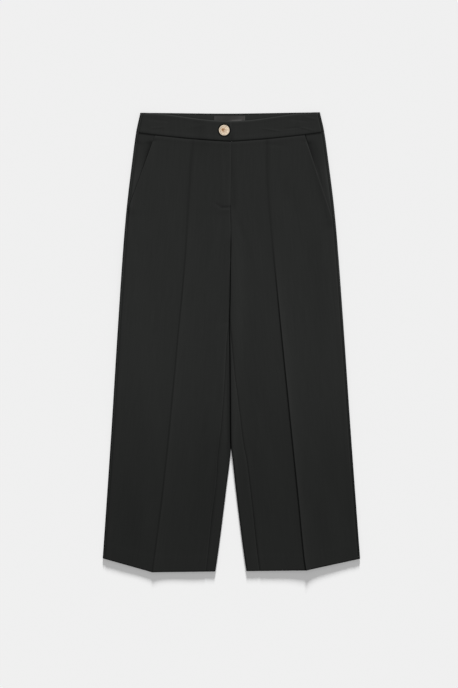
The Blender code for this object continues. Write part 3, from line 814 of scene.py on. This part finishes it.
@dataclass(frozen=True)
class Crepe:
    """Woven viscose crepe suiting, piece-dyed black and pressed.

    The hard-twisted yarns pebble the face, which scatters light: no gloss, a dry deep black. The
    attribute tone holds painted shade in folds, creases and seams and painted highlight
    along edges, and the colour darkens towards the hems as painted shade.
    """

    name: str = "black_crepe_suiting_woven"
    # Painted shade: the cloth darkens from colour to deep down the legs towards the hems.
    colour: str = "#262726"
    deep: str = "#202120"
    thread: float = 1.1
    pebble: float = 1.9
    streak: float = 3.4
    streak_length: float = 70.0
    hem_shade_drops: tuple[float, float] = (500.0, 880.0)

    def material(self) -> Material:
        """Builds the material. The weave is drawn at twice its real 0.5 mm, so that it shows."""
        nodes = Nodes(self.name)
        uv = nodes.add("UVMap", uv_map="cut")
        warp, weft = (nodes.threads(uv, self.thread, way, 1.6, 1.0) for way in ("X", "Y"))
        pebble = nodes.noise(uv, 1 / (self.pebble * MM), 3.0)
        height = nodes.math("MULTIPLY_ADD", pebble, 1.6, nodes.math("ADD", warp, weft))
        stretch = (1 / (self.streak * MM), 1 / (self.streak_length * MM), 1.0)
        stretched = nodes.add("VectorMath", {0: uv, 1: stretch}, operation="MULTIPLY")
        streaks = nodes.spread(nodes.noise(stretched, 1.0), (0.3, 0.7), (0.95, 1.05))
        down = nodes.add("SeparateXYZ", {0: uv}, "Y")
        ends = tuple(end * MM for end in self.hem_shade_drops)
        # Painted shade, darker down the legs towards the hems.
        faded = nodes.spread(down, ends, interpolation_type="SMOOTHSTEP")
        body = nodes.blend(faded, self.colour, self.deep)
        return nodes.finish({
            # Its colour is scaled by the random streaks and by the painted light and shade.
            "Base Color": nodes.toned(body, nodes.math("MULTIPLY", streaks, nodes.value("tone"))),
            "Normal": nodes.bump(0.35, 0.12, height),
            "Roughness": 0.92,
            "Specular IOR Level": 0.12,
        })


@dataclass(frozen=True)
class Satin:
    """Woven polyester satin ribbon, dark grey: long floats with a soft sheen along the weft."""

    name: str = "grey_label_satin_woven"
    colour: str = "#313030"
    pale: str = "#3a3937"
    rib: float = 0.7
    cloud: float = 260.0

    def material(self) -> Material:
        """Builds the material, with the ribs drawn at twice their real size, so that they show."""
        nodes = Nodes(self.name)
        uv = nodes.add("UVMap", uv_map="cut")
        body = nodes.blend(nodes.noise(uv, self.cloud), self.colour, self.pale)
        return nodes.finish({
            # The label's colour is scaled by its painted light and shade.
            "Base Color": nodes.toned(body, nodes.value("tone")),
            "Normal": nodes.bump(0.4, 0.1, nodes.threads(uv, self.rib, "Y", 0.6)),
            "Roughness": 0.5,
            "Specular IOR Level": 0.35,
        })


@dataclass(frozen=True)
class PlatedZinc:
    """Die-cast zinc with a pale gold plate, beaten and lightly tarnished in its hollows.

    The plate mirrors the studio on the rim, and the hollows hold a warmer, duller tan.
    """

    name: str = "pale_gold_plate_cast"
    plate: str = "#f7e6ce"
    tarnish: str = "#9c6c3c"
    grain: float = 1.1

    def material(self) -> Material:
        """Builds the material. The attribute hollow is 1 in the face's hollows."""
        nodes = Nodes(self.name)
        mottle = nodes.noise(nodes.add("TexCoord", output="Object"), 1 / (self.grain * MM))
        share = nodes.math("MULTIPLY", nodes.value("hollow"), mottle)
        return nodes.finish({
            "Base Color": nodes.blend(nodes.spread(share, (0.1, 0.6)), self.plate, self.tarnish),
            "Roughness": nodes.spread(share, (0.0, 1.0), (0.5, 0.6)),
            "Normal": nodes.bump(0.25, 0.2, mottle),
            "Metallic": 1.0,
        })


@dataclass(frozen=True)
class OpalAcrylic:
    """A light table's top of sanded opal acrylic, lit a little from below.

    It glows evenly, so the ground stays pale right up to the cloth, and it still takes a shadow.
    """

    name: str = "opal_acrylic_light_table"
    colour: str = "#e7e7e7"
    glow: float = 0.206

    def material(self) -> Material:
        """Builds the material, with the sanded face's faint tooth."""
        nodes = Nodes(self.name)
        tooth = nodes.noise(nodes.add("TexCoord", output="Object"), 900.0)
        return nodes.finish({
            "Normal": nodes.bump(0.05, 0.1, tooth),
            "Base Color": linear(self.colour),
            "Roughness": 1.0,
            "Specular IOR Level": 0.0,
            "Emission Color": (1.0, 1.0, 1.0, 1.0),
            "Emission Strength": self.glow,
        })


# Sub-assemblies


def fold_painted_light(rows: Rows, past: Array, near: Array) -> Array:
    """Painted shade on a turned edge: none on top, deep down its side and at the hem's cut rim.

    Below the crotch the folds are tight and hardly show their sides, so there the painted shade is
    paler; just under the crotch it turns to painted light, which lifts the slit between the legs.

    Args:
        rows: The levels.
        past: The way past the fold's top.
        near: The points' places across.
    """
    side = ease(-past, -0.9, 1.1) * rows.below
    closing = mix(0.5, -0.4, ease(rows.inner_drop, 285.0, 325.0))
    depth = mix(closing, 0.68, ease(rows.tight, CUT.crotch_fold, 1.0))
    rim = ridge(np.maximum(rows.above_hem(near), 0.0), 2.0)
    return (1.0 - depth * side) * (1.0 - 0.6 * rim)


@dataclass
class LegFront:
    """A front: its crease, its inseam or fly edge, and the slant pocket's folded edge."""

    leg: Leg
    allowance: float = 11.0
    allowance_rise: float = 0.12
    lay: float = 0.5
    prick: float = 7.0
    step: float = 2.7
    waist_rows: tuple[float, ...] = (0.5, 1.0, 1.7)
    columns: tuple[int, ...] = (6, 22, 8, 14, 14, 8, 26, 8, 6)

    def lift(self, rows: Rows, across: Array) -> Array:
        """How far the whole wall stands above the tube's top, at the pocket and at the fly."""
        aside = np.maximum(0.0, rows.slant() - across) / CUT.pocket_lift_fade
        slant = CUT.pocket_lift * self.leg.pocket_open(rows.outer_drop) * np.exp(-aside)
        window = 1.0 - ease(rows.inner_drop, CUT.fly_end - 4.0, CUT.fly_end + 22.0)
        if self.leg.side is Side.RIGHT:
            away = np.maximum(0.0, across - rows.inner - 9.0)
            fly = 0.9 * window * np.exp(-away / 25.0)
            band = CUT.lapped_band(across)
        else:
            fly = -window * (1.0 - ease(across, 2.0, 12.0))
            band = CUT.band_height
        return mix(slant + fly, band - CUT.waist_step - CUT.leg_height, rows.sewn(across))

    def seams(self, rows: Rows, near: Array, start: Array, edge: Array) -> Array:
        """Height where the cloth is sewn.

        Its edges roll down over their pressed-open allowances, its top rolls into the waist seam,
        and the blind stitches draw in a line above the hem.

        Args:
            rows: The levels.
            near: The points' places across.
            start: Across of the inner boundary.
            edge: Across of the outer boundary.
        """
        rolled, beneath = 0.0, 0.0
        sides = (
            (near - start, 1.0, rows.below),
            (edge - near, CUT.opening(rows.outer_drop), ease(rows.outer_drop, 196.0, 230.0)),
        )
        for away, open_share, sewn in sides:
            rolled = rolled + open_share * ridge(away, CUT.edge_reach)
            beneath = beneath + (1.0 - ease(away, self.allowance - 2.0, self.allowance)) * sewn
        down = rows.below_seam(near)
        waist = 0.16 * ridge(down - 6.0, 3.5) - 0.5 * ridge(down, 1.6)
        pricks = 0.5 + 0.5 * np.cos(2 * np.pi * near / self.prick)
        stitched = 0.09 * pricks * ridge(CUT.hem_depth - rows.above_hem(near), 1.4)
        return self.allowance_rise * beneath - CUT.edge_roll * rolled + waist - stitched

    def build(self) -> Thing:
        """Builds the front as one closed wall."""
        leg = self.leg
        rows = Rows(leg, levels(self.step, self.waist_rows))
        first = mix(0.0, rows.rolled + CUT.seam_gap / 2, rows.below)
        base = rows.inner + rows.reach
        crease, edge = rows.crease - base, rows.slant() - base
        knots = [first, first + 3.5, *(crease + aside for aside in (-14.0, -5.0, 0.0, 5.0, 14.0))]
        past = fill([*knots, edge - 16.0, edge - 3.5, edge], self.columns)
        near = base + past
        half = rows.half(near)
        (out, top), (into, under) = turned(rows.reach, half, rows.wall(near), past)
        drop = rows.drop_at(near)
        beside = (near - rows.crease) * leg.side.value
        quiet = mix(ease(past, 0.0, 12.0), 1.0, rows.below)
        relief = leg.pressed.rise(rows.crease_drop, beside) + total(leg.folds, drop, near)
        relief = relief + self.lay * quiet * broad_lay(near, drop, leg.side.value)
        relief = relief + self.seams(rows, near, base + first, base + edge)
        lift = self.lift(rows, near) + relief * top / (2.0 * half)
        outer = rows.place(rows.inner + out, top + lift)
        inner = rows.place(rows.inner + into, under + lift)
        # Painted highlight along the pocket's slant edge; painted shade at the waist seam, down the
        # folds and along the crease; and the leg's painted streaks.
        slant = 0.25 * ridge(base + edge - near, 1.6) * leg.pocket_open(rows.outer_drop)
        tone = rows.seam_painted_shade(near) * (1.0 + slant) * fold_painted_light(rows, past, near)
        tone = tone * leg.tone(drop, near) * leg.pressed.tone(drop, beside)
        grain = sum(self.columns[:4])
        return wall_object(f"front_{leg.name}_cloth", outer, inner, grain, CUT.seam_middle, tone)


@dataclass
class LegBack:
    """A back, flat on the floor and turned over both edges to the seams on top."""

    leg: Leg
    crease_rise: float = 0.35
    lay: float = 0.16
    step: float = 4.0

    def beneath(self, rows: Rows, across: Array) -> Array:
        """The back's own pressed crease and slow unevenness, as small rises off the floor."""
        away = across - rows.crease
        crease = self.crease_rise * (1.0 - ridge(away, 4.0)) * ridge(away, 22.0)
        lay = self.lay * (1.0 + broad_lay(across, rows.drop_at(across), 4.0))
        margin = ease(across - rows.inner, 8.0, 40.0) * ease(rows.outer - across, 8.0, 40.0)
        return (crease + lay) * margin

    def edge(self, rows: Rows, line: Array, inward: int, reach: Array, past: Array) -> tuple:
        """Both faces of one turned edge.

        Args:
            rows: The levels.
            line: Across of the fold's edge.
            inward: 1 where the cloth lies outwards of the edge, and -1 where it lies inwards.
            reach: How far the fold goes in.
            past: The way from the fold's top.

        Returns:
            The outer face's points, the inner face's, and their painted light.
        """
        near = line + inward * reach
        half = rows.half(near)
        (out, top), (into, under) = turned(reach, half, rows.wall(near), past)
        on_top = over_top(past)
        seam_end = past.max(axis=1, keepdims=True)
        rolled = CUT.edge_roll * ridge(seam_end - past, CUT.edge_reach) * ease(past, -1.0, 1.0)
        over = near + inward * np.maximum(past, 0.0)
        drop = rows.drop_at(over)
        worn = total(self.leg.folds, drop, over) * rows.below * top / (2.0 * half)
        outer = rows.place(line + inward * out, top + worn - rolled, on_top)
        inner = rows.place(line + inward * into, under + worn, on_top)
        return outer, inner, fold_painted_light(rows, past, over) * self.leg.tone(drop, over)

    def build(self) -> Thing:
        """Builds the back as one closed wall."""
        rows = Rows(self.leg, levels(self.step), front=False)
        start = mix(-CUT.fold_round, rows.rolled - CUT.seam_gap / 2, rows.below)
        beneath = np.full_like(start, -CUT.fold_round - 2.0)
        inner_past = fill([start, np.minimum(0.0, start - 0.6), beneath], (10, 16))
        end = rows.seam_in - CUT.outer_fold - CUT.seam_gap / 2
        outer_past = fill([beneath, np.zeros_like(start), end], (16, 4))
        first = self.edge(rows, rows.inner, 1, rows.reach, inner_past)
        reach = np.full_like(start, CUT.outer_fold)
        last = self.edge(rows, rows.outer, -1, reach, outer_past)
        side = self.leg.side.value
        ends = first[0][:, -1:, 0] * side, last[0][:, :1, 0] * side
        knots = [ends[0], rows.crease - 12.0, rows.crease + 12.0, ends[1]]
        across = fill(knots, (14, 16, 18))[:, 1:-1]
        rise = self.beneath(rows, across)
        middle = [rows.place(across, rise + wall, 0.0) for wall in (0.0, rows.wall(across))]
        parts = zip(first, (*middle, np.ones_like(across)), last)
        outer, inner, tone = (np.concatenate(part, axis=1) for part in parts)
        grain = outer.shape[1] // 2
        name = f"back_{self.leg.name}_cloth"
        return wall_object(name, outer, inner, grain, CUT.seam_middle, tone)


@dataclass
class PocketFacing:
    """The hip piece behind a slant pocket, which falls away under the front's edge."""

    leg: Leg
    short: float = 3.4
    fall: float = 1.6
    slope: float = 0.5
    tucked_top: float = 22.0
    tucked_end: float = 3.0
    # Depth of the painted shadow in the wedge under the slant, and how much lighter the lower facing
    # is painted.
    shadow: float = 0.62
    painted_lightening: float = 0.10

    def tone(self, rows: Rows, inside: Array, near: Array) -> Array:
        """Painted shade in a deep wedge under the slant's top, gone by the middle of the opening.

        Args:
            rows: The levels.
            inside: The way from the slant, outwards.
            near: The points' places across.
        """
        drop = rows.outer_drop
        wedge = ease(drop, 50.0, 60.0) * (1.0 - ease(drop, 78.0, 140.0))
        reach = mix(7.0, 2.5, ease(drop, 60.0, 130.0))
        shade = self.shadow * wedge * np.exp(-np.maximum(inside, 0.0) / reach)
        # Painted light: the facing is painted lighter towards the end of the opening.
        shade = shade - self.painted_lightening * ease(drop, 85.0, 130.0)
        return (1.0 - shade) * rows.seam_painted_shade(near) * self.leg.tone(drop, near)

    def build(self) -> Thing:
        """Builds the facing as one closed wall."""
        end = self.leg.pocket_end - self.short
        outer_top = CUT.waist_seam(CUT.waist_seam_half)
        share = (end - outer_top) / (self.leg.hem_outer - outer_top)
        last = mix(CUT.front_start, CUT.hem_at_inner, share)
        rows = Rows(self.leg, np.linspace(CUT.front_start, last, 50))
        seam = rows.outer - rows.seam_in - CUT.seam_gap / 2
        slant = rows.slant()
        tucked = mix(self.tucked_top, self.tucked_end, rows.outer_drop / end)
        across = fill([seam, slant, slant - tucked], (24, 8))
        width = np.maximum(seam - slant, CUT.seam_gap)
        fall = np.minimum(self.fall, self.slope * width) * CUT.opening(rows.outer_drop)
        fall = fall * (1.0 - 0.75 * ease(rows.outer_drop, 75.0, 150.0))
        sunk = ease((seam - across) / (width * 0.95) * 1.4, 0.4, 1.4)
        band = CUT.band_height - CUT.waist_step
        top = mix(CUT.leg_height - fall * sunk, band, rows.sewn(across))
        lift = LegFront(self.leg).lift(rows, np.minimum(across, slant))
        under = CUT.leg_height - CUT.cloth + lift - CUT.seam_gap
        top = np.where(across <= slant, np.minimum(top, under), top)
        outer = rows.place(across, top - 0.4 * ridge(seam - across, CUT.edge_reach))
        inner = rows.place(across, top - CUT.facing_cloth)
        tone = self.tone(rows, across - slant, across)
        name = f"pocket_facing_{self.leg.name}_cloth"
        return wall_object(name, outer, inner, 0, CUT.seam_middle, tone)


@dataclass
class Waistband:
    """The contoured waistband: two fronts, a back that turns over both sides, and its facing."""

    ends_past_middle: float = 2.6
    underlap: float = 40.0
    facing_inset: float = 6.5
    facing_below_top: float = 1.4
    # How much lighter the facing is painted.
    facing_pale: float = 1.14
    rows: int = 56
    top_roll: float = 1.0
    seam_roll: float = 0.6
    end_roll: float = 0.5
    allowance_rise: float = 0.18
    lay: float = 0.16
    puckers: tuple[Fold, ...] = (
        Fold(33, 60, 42, 118, 0.30, 1.6),
        Fold(36, 108, 31, 160, -0.30, 1.8),
        Fold(30, 140, 40, 182, 0.35, 1.5),
        Fold(14, 118, 20, 176, -0.25, 2.4),
        Fold(8, 150, 16, 188, 0.30, 2.0),
        Fold(12, -186, 20, -120, -0.22, 3.0),
        Fold(34, -176, 30, -132, 0.24, 1.8),
        Fold(24, -40, 34, -96, 0.20, 3.5),
    )

    def tone(self, drop: Array, x: Array) -> Array:
        """Painted highlight on the top; painted shade at the seam, round the button and the lap."""
        button = ShankButton()
        away = np.hypot(x - button.across, drop - button.drop) - button.radius
        # Painted shade: the seam's dark line, a shadow ring round the button, and the lap's edge
        # with a patch under it.
        seam = 1.0 - 0.72 * ridge(CUT.waist_seam(x) - drop, 1.3)
        ring = 1.0 - 0.95 * ridge(away - 1.3, 1.5)
        lap = 1.0 - 0.1 * ridge(x - self.ends_past_middle, 1.8) * ease(drop, 40.0, 50.0)
        lap = lap - 0.3 * ridge(np.hypot(x + 1.0, drop - 54.0), 7.0)
        return CUT.top_painted_light(x, drop, 0.32) * seam * ring * lap

    def relief(self, down: Array, height: Array, x: Array) -> Array:
        """The band's edges roll over, its allowances lift it near the seam, and it lies unevenly.

        Args:
            down: The way from the band's top edge.
            height: The band's height there.
            x: The place across the garment.
        """
        up = height - down
        rolled = self.top_roll * ridge(down, CUT.edge_reach)
        rolled = rolled + self.seam_roll * ridge(up, CUT.edge_reach)
        allowance = ridge(up - 6.0, 4.0) + 0.7 * ridge(down - 5.0, 3.0)
        uneven = self.lay * broad_lay(x * 1.3, down * 3.0, 5.0)
        uneven = uneven + total(self.puckers, down + CUT.front_top(x), x)
        return self.allowance_rise * allowance + uneven - rolled

    def shares(self) -> Array:
        """The rows from the top edge (0) to the seam (1), closer at both edges."""
        return (0.5 - 0.5 * np.cos(np.linspace(0, np.pi, self.rows)))[:, None]

    def front(self, side: Side) -> Thing:
        """Builds a front band. The right one laps over the left one's end."""
        share = self.shares()
        past = self.ends_past_middle if side is Side.RIGHT else self.underlap
        end = CUT.band_half(share) - CUT.side_seam.at(0.0) - CUT.seam_gap / 2
        knots = [np.full_like(share, value) for value in (-past, 3.0 - past, CUT.rise_start)]
        across = fill([*knots, end - 3.0, end], (6, 90, 60, 6))
        height = CUT.lapped_band(across) if side is Side.RIGHT else CUT.band_height
        x = side.value * across
        top, seam = CUT.front_top(x), CUT.waist_seam(x) - CUT.seam_gap / 2
        drop = mix(top, seam, share)
        ends = self.end_roll * (ridge(across + past, 1.2) + ridge(end - across, 1.4))
        outer = points_at(x, drop, height + self.relief(drop - top, seam - top, x) - ends)
        inner = points_at(x, drop, height - CUT.band_cloth)
        name = f"waistband_{side.name.lower()}_cloth"
        return wall_object(name, outer, inner, 90, 0.0, self.tone(drop, x))

    def back(self) -> Thing:
        """Builds the back band: the turned section on both sides of a flat underside."""
        share = self.shares()
        half = CUT.band_half(share)
        end = CUT.side_seam.at(0.0) - CUT.outer_fold - CUT.seam_gap / 2
        folds = fill([-CUT.fold_round - 2.0, 0.0, end], (16, 5))[None, :]
        section = turned(CUT.outer_fold, CUT.band_height / 2, CUT.cloth, folds)
        on_top = over_top(folds)
        rolled = self.end_roll * ridge(end - folds, 1.4) * ease(folds, -1.0, 1.0)
        flat = np.linspace(-1, 1, 60)[None, 1:-1]
        weight = np.hstack([on_top[:, ::-1], np.zeros_like(flat), on_top])
        faces, painted_lights = [], []
        for (inward, height), level, roll in zip(section, (0.0, CUT.cloth), (1, 0)):
            right = half - inward
            height = height - roll * rolled
            x = np.hstack([-right[:, ::-1], flat * (half - inward[:, :1]), right])
            up = np.hstack([height[:, ::-1], np.full_like(flat, level), height])
            top = mix(CUT.back_top(x), CUT.front_top(x), weight)
            seam = mix(CUT.back_seam(x), CUT.waist_seam(x), weight) - CUT.seam_gap / 2
            drop = mix(top, seam, share)
            relief = self.relief(drop - top, seam - top, x) * weight * roll
            faces.append(points_at(x, drop, up + relief))
            # Painted shade down the band's outer folds, on top of the painted light of its top,
            # seam, button ring and lap.
            fold = 0.65 * (1.0 - ease(half - np.abs(x), 0.4, 2.4))
            painted_lights.append(mix(CUT.top_painted_light(x, drop), self.tone(drop, x), weight) * (1 - fold))
        grain = faces[0].shape[1] // 2
        return wall_object("waistband_back_cloth", *faces, grain, 0.0, painted_lights[0])

    def facing(self) -> Thing:
        """Builds the facing inside the back band, under a small fold at its top edge."""
        share = self.shares()
        x = (CUT.band_half(share) - self.facing_inset) * np.linspace(-1, 1, 120)[None, :]
        top = CUT.back_top(x) + self.facing_below_top
        drop = mix(top, CUT.back_seam(x) - 1.0, share)
        bottom = CUT.cloth + CUT.seam_gap
        rolled = 0.3 * ridge(drop - top, 1.2) - 0.1 * broad_lay(x, drop * 4.0, 2.0)
        outer = points_at(x, drop, bottom + CUT.band_facing_cloth - rolled)
        # Painted shadow under the front bands' top edge, on a facing painted lighter overall.
        shaded = 1.0 - 0.2 * ridge(CUT.front_top(x) - drop, 2.0)
        tone = self.facing_pale * CUT.top_painted_light(x, drop) * shaded
        inner = points_at(x, drop, bottom)
        return wall_object("waistband_facing_cloth", outer, inner, 60, 0.0, tone)


@dataclass
class Label:
    """The blank woven label on the back band's facing, with its ends folded under."""

    start: float = -35.0
    end: float = 31.5
    top: float = 6.6
    depth: float = 19.0
    cloth: float = 0.4
    bow: float = 0.35
    end_fold: float = 0.25

    def tone(self, x: Array, drop: Array) -> Array:
        """Painted shade at its top and middle, painted highlight at its ends and turned-up lower
        edge.
        """
        share = (x - self.start) / (self.end - self.start)
        tone = mix(0.95, 0.7, ridge(share - 0.5, 0.3)) + 0.3 * ease(share, 0.7, 1.0)
        turned_up = ease(x, -8.0, 8.0) * (1.0 - ease(x, 22.0, 27.0))
        tone = tone + 1.5 * turned_up * ridge(drop - CUT.front_top(x) + 0.5, 1.9)
        return tone * mix(0.62, 1.0, ease(drop - self.top, 0.0, 2.4))

    def build(self) -> Thing:
        """Builds the label: a grid that bows a little between its sewn ends."""
        across, down = np.linspace(0, 1, 60)[None, :], np.linspace(0, 1, 22)[:, None]
        x, drop = mix(self.start, self.end, across), self.top + self.depth * down
        bow = self.bow * np.sin(np.pi * across) * (0.4 + 0.6 * np.sin(np.pi * down))
        lower = CUT.cloth + 2 * CUT.seam_gap + CUT.band_facing_cloth + bow
        folded = ridge(x - self.start - 2.0, 2.0) + ridge(self.end - x - 2.0, 2.0)
        outer = points_at(x, drop, lower + self.cloth + self.end_fold * folded)
        inner = points_at(x, drop, lower)
        return wall_object("label_satin", outer, inner, 30, 5.0, self.tone(x, drop))


@dataclass
class ShankButton:
    """A cast shank button: a beaten face inside a round rim, on a short shank.

    Its profile runs from the face's middle round the rim to the back, as shares of the radius
    and heights over the back.
    """

    across: float = -12.4
    drop: float = 38.1
    radius: float = 11.5
    stand: float = 0.4
    shank: float = 1.2
    turns: int = 128
    dents: int = 26
    dent_depth: float = 0.26
    profile: tuple[tuple[float, float], ...] = (
        (0.0, 1.9), (0.45, 1.8), (0.72, 1.5), (0.77, 1.8), (0.80, 2.18), (0.84, 2.38), (0.89, 2.4),
        (0.94, 2.22), (0.98, 1.8), (1.0, 1.3), (1.0, 0.7), (0.97, 0.2), (0.92, 0.0),
    )
    face_ends: int = 5

    def face(self, radius: Array, angle: Array) -> tuple[Array, Array]:
        """Depth of the beaten face: round dents on a sunflower spiral, and how hollow each is.

        Args:
            radius: The way from the middle, as a share of the button's radius.
            angle: The turn.
        """
        k = np.arange(1, self.dents)[:, None, None]
        at = 0.66 * np.sqrt(k / self.dents)
        turn = k * math.pi * (3 - math.sqrt(5))
        x, y = radius * np.cos(angle), radius * np.sin(angle)
        near = np.hypot(x - at * np.cos(turn), y - at * np.sin(turn))
        bowl = np.max(1.0 - (near / (0.17 + 0.03 * np.sin(5.0 * k))) ** 2, axis=0)
        dent = np.clip(bowl, 0.0, 1.0) * (1.0 - ease(radius, 0.66, 0.73))
        warm = ridge(np.hypot(x + 0.2, y - 0.06), 0.36) * (1.0 - ease(radius, 0.6, 0.74))
        inner = 1.0 - ease(radius, 0.72, 0.8)
        return self.dent_depth * dent, 0.2 * inner + (0.35 + 0.75 * warm) * dent + 0.25 * warm

    def build(self) -> Thing:
        """Builds the button as a closed turned surface with the face's dents on it."""
        back = CUT.band_height + CUT.band_cloth + CUT.seam_gap + self.stand
        shank, low = self.shank / self.radius, -CUT.band_cloth - self.stand
        stations = np.array([*self.profile, (shank, 0.0), (shank, low), (0.0, low)])
        lengths = np.hypot(*np.diff(stations * (self.radius, 1), axis=0).T)
        run = np.concatenate([[0], np.cumsum(lengths)])
        steps = np.unique(np.concatenate([run, np.linspace(0, run[-1], 96)]))
        share, height = (np.interp(steps, run, stations[:, k])[:, None] for k in (0, 1))
        angle = np.linspace(0, 2 * np.pi, self.turns, endpoint=False)[None, :]
        on_face = (steps < run[self.face_ends])[:, None]
        depth, hollow = (np.where(on_face, value, 0.0) for value in self.face(share, angle))
        x = self.across + self.radius * share * np.cos(angle)
        drop = self.drop - self.radius * share * np.sin(angle)
        points = points_at(x, drop, back + height - depth)
        number = np.arange(x.size).reshape(x.shape)
        onward = np.roll(number, -1, axis=1)
        corners = [number[:-1], number[1:], onward[1:], onward[:-1]]
        faces = np.stack(corners, axis=-1).reshape(-1, 4)
        made = mesh_object("button_gold", points.reshape(-1, 3), faces, hollow=hollow)
        work = bmesh.new()
        work.from_mesh(made.data)
        bmesh.ops.remove_doubles(work, verts=work.verts, dist=1e-6)
        bmesh.ops.recalc_face_normals(work, faces=work.faces)
        work.to_mesh(made.data)
        work.free()
        made.data.set_sharp_from_angle(angle=math.radians(60.0))
        return made


# Studio and staging


@dataclass(frozen=True)
class Studio:
    """The floor, the soft light and the camera, straight above the garment."""

    pixel: float = 2.1215
    height: int = 688
    distance: float = 4.0
    sensor: float = 36.0
    centre: tuple[float, float] = (-3.77, -3.63)
    lean: float = 0.163
    floor_half: float = 20.0
    floor_below: float = 0.1
    room: float = 0.28

    def camera(self) -> None:
        """Aims the camera down, turned by the small lean of the garment in the frame."""
        data = bpy.data.cameras.new("camera")
        data.sensor_width = self.sensor
        data.lens = self.sensor * self.distance / (self.height * self.pixel * MM)
        made = bpy.data.objects.new("camera", data)
        x, y = self.centre
        made.location = (x * MM, y * MM, self.distance + CUT.leg_height * MM)
        made.rotation_euler = (0.0, 0.0, -math.radians(self.lean))
        bpy.context.scene.collection.objects.link(made)
        bpy.context.scene.camera = made

    def sun(
        self, name: str, strength: float, angles: tuple[float, ...], lights: list, blocks: list
    ) -> None:
        """Adds a distant soft light that falls only on some pieces.

        Args:
            name: The light's name.
            strength: Its light on a face turned to it, in watts for each square metre.
            angles: In degrees, how wide it looks, its height above the floor and its turn from +X.
            lights: The pieces that it falls on.
            blocks: The pieces that shade the others from it.
        """
        spread, height, turn = angles
        data = bpy.data.lights.new(name, "SUN")
        data.energy = strength
        data.angle = math.radians(spread)
        made = bpy.data.objects.new(name, data)
        made.rotation_euler = (0.0, math.radians(90.0 - height), math.radians(turn))
        bpy.context.scene.collection.objects.link(made)
        for use, linked in (("receiver", lights), ("blocker", blocks)):
            group = bpy.data.collections.new(f"{name}_{use}s")
            for piece in linked:
                group.objects.link(piece)
            setattr(made.light_linking, f"{use}_collection", group)

    def light(self, floor: Thing, cloths: list[Thing], button: Thing) -> None:
        """Lights the set: a low light for the table's shadows, a key, a card and the room.

        Args:
            floor: The table.
            cloths: The garment's cloth, which alone takes the low key light.
            button: The button, whose plate mirrors a white card held above it.
        """
        self.sun("table_light", 7.68, (9.0, 13.0, 88.0), [floor], [*cloths, button])
        self.sun("key", 5.09, (16.0, 23.0, 58.0), cloths, cloths)
        self.sun("card", 1.2, (60.0, 72.0, 150.0), [button], [button])
        world = bpy.data.worlds.new("room")
        world.use_nodes = True
        back = world.node_tree.nodes["Background"]
        back.inputs["Color"].default_value = (1.0, 1.0, 1.0, 1.0)
        back.inputs["Strength"].default_value = self.room
        bpy.context.scene.world = world
        bpy.context.scene.view_settings.view_transform = "Standard"

    def floor(self) -> Thing:
        """Lays the light table's top a hair under the garment."""
        half = self.floor_half / MM
        corners = np.array([(-half, -half), (half, -half), (half, half), (-half, half)])
        points = np.hstack([corners, np.full((4, 1), -self.floor_below)])
        made = mesh_object("floor", points, np.array([[0, 1, 2, 3]]))
        made.data.materials.append(OpalAcrylic().material())
        return made


def declare(piece: Thing, material: Material) -> None:
    """Dresses a piece, which stands for its CAD node and rides on the body.

    A piece is named for its node and then its stuff, such as back_left_cloth.
    """
    node = piece.name.rsplit("_", 1)[0]
    piece.data.materials.append(material)
    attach(piece, ROOT)
    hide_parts(node)
    log.info("%s: %d faces, for %s", piece.name, len(piece.data.polygons), node)


def lay(piece: Thing, material: Material, rests_on: tuple = (), slot: str = "cloth") -> None:
    """Declares a cloth piece, and reads its cut's UV map and its faces' areas, which nothing then
    uses.

    Args:
        piece: The piece, with its cut laid flat in its UV map.
        material: Its material.
        rests_on: What it lies on; not used.
        slot: Its slot; not used.
    """
    declare(piece, material)
    layer = piece.data.uv_layers["cut"].data
    uv = np.empty(len(layer) * 2)
    layer.foreach_get("uv", uv)
    areas = np.empty(len(piece.data.polygons))
    piece.data.polygons.foreach_get("area", areas)


def build_cloth(cloth: Material, satin: Material) -> None:
    """Builds every cloth piece from the back up, of the suiting or of the label's satin."""
    band = Waistband()
    for leg in LEGS:
        lay(LegBack(leg).build(), cloth)
    for leg in LEGS:
        for part in (PocketFacing(leg), LegFront(leg)):
            lay(part.build(), cloth, (f"back_{leg.name}_cloth",))
    lay(band.back(), cloth)
    for piece in (band.facing(), band.front(Side.LEFT), band.front(Side.RIGHT)):
        lay(piece, cloth, ("waistband_back_cloth",))
    lay(Label().build(), satin, ("waistband_facing_cloth",), "label")


def main() -> None:
    """Builds the garment's pieces and the studio."""
    logging.basicConfig(level=logging.INFO, format="%(message)s")
    build_cloth(Crepe().material(), Satin().material())
    button = ShankButton().build()
    declare(button, PlatedZinc().material())
    studio = Studio()
    cloths = [piece for piece in bpy.data.objects if piece.type == "MESH" and piece != button]
    studio.light(studio.floor(), cloths, button)
    studio.camera()


if __name__ == "__main__":
    main()
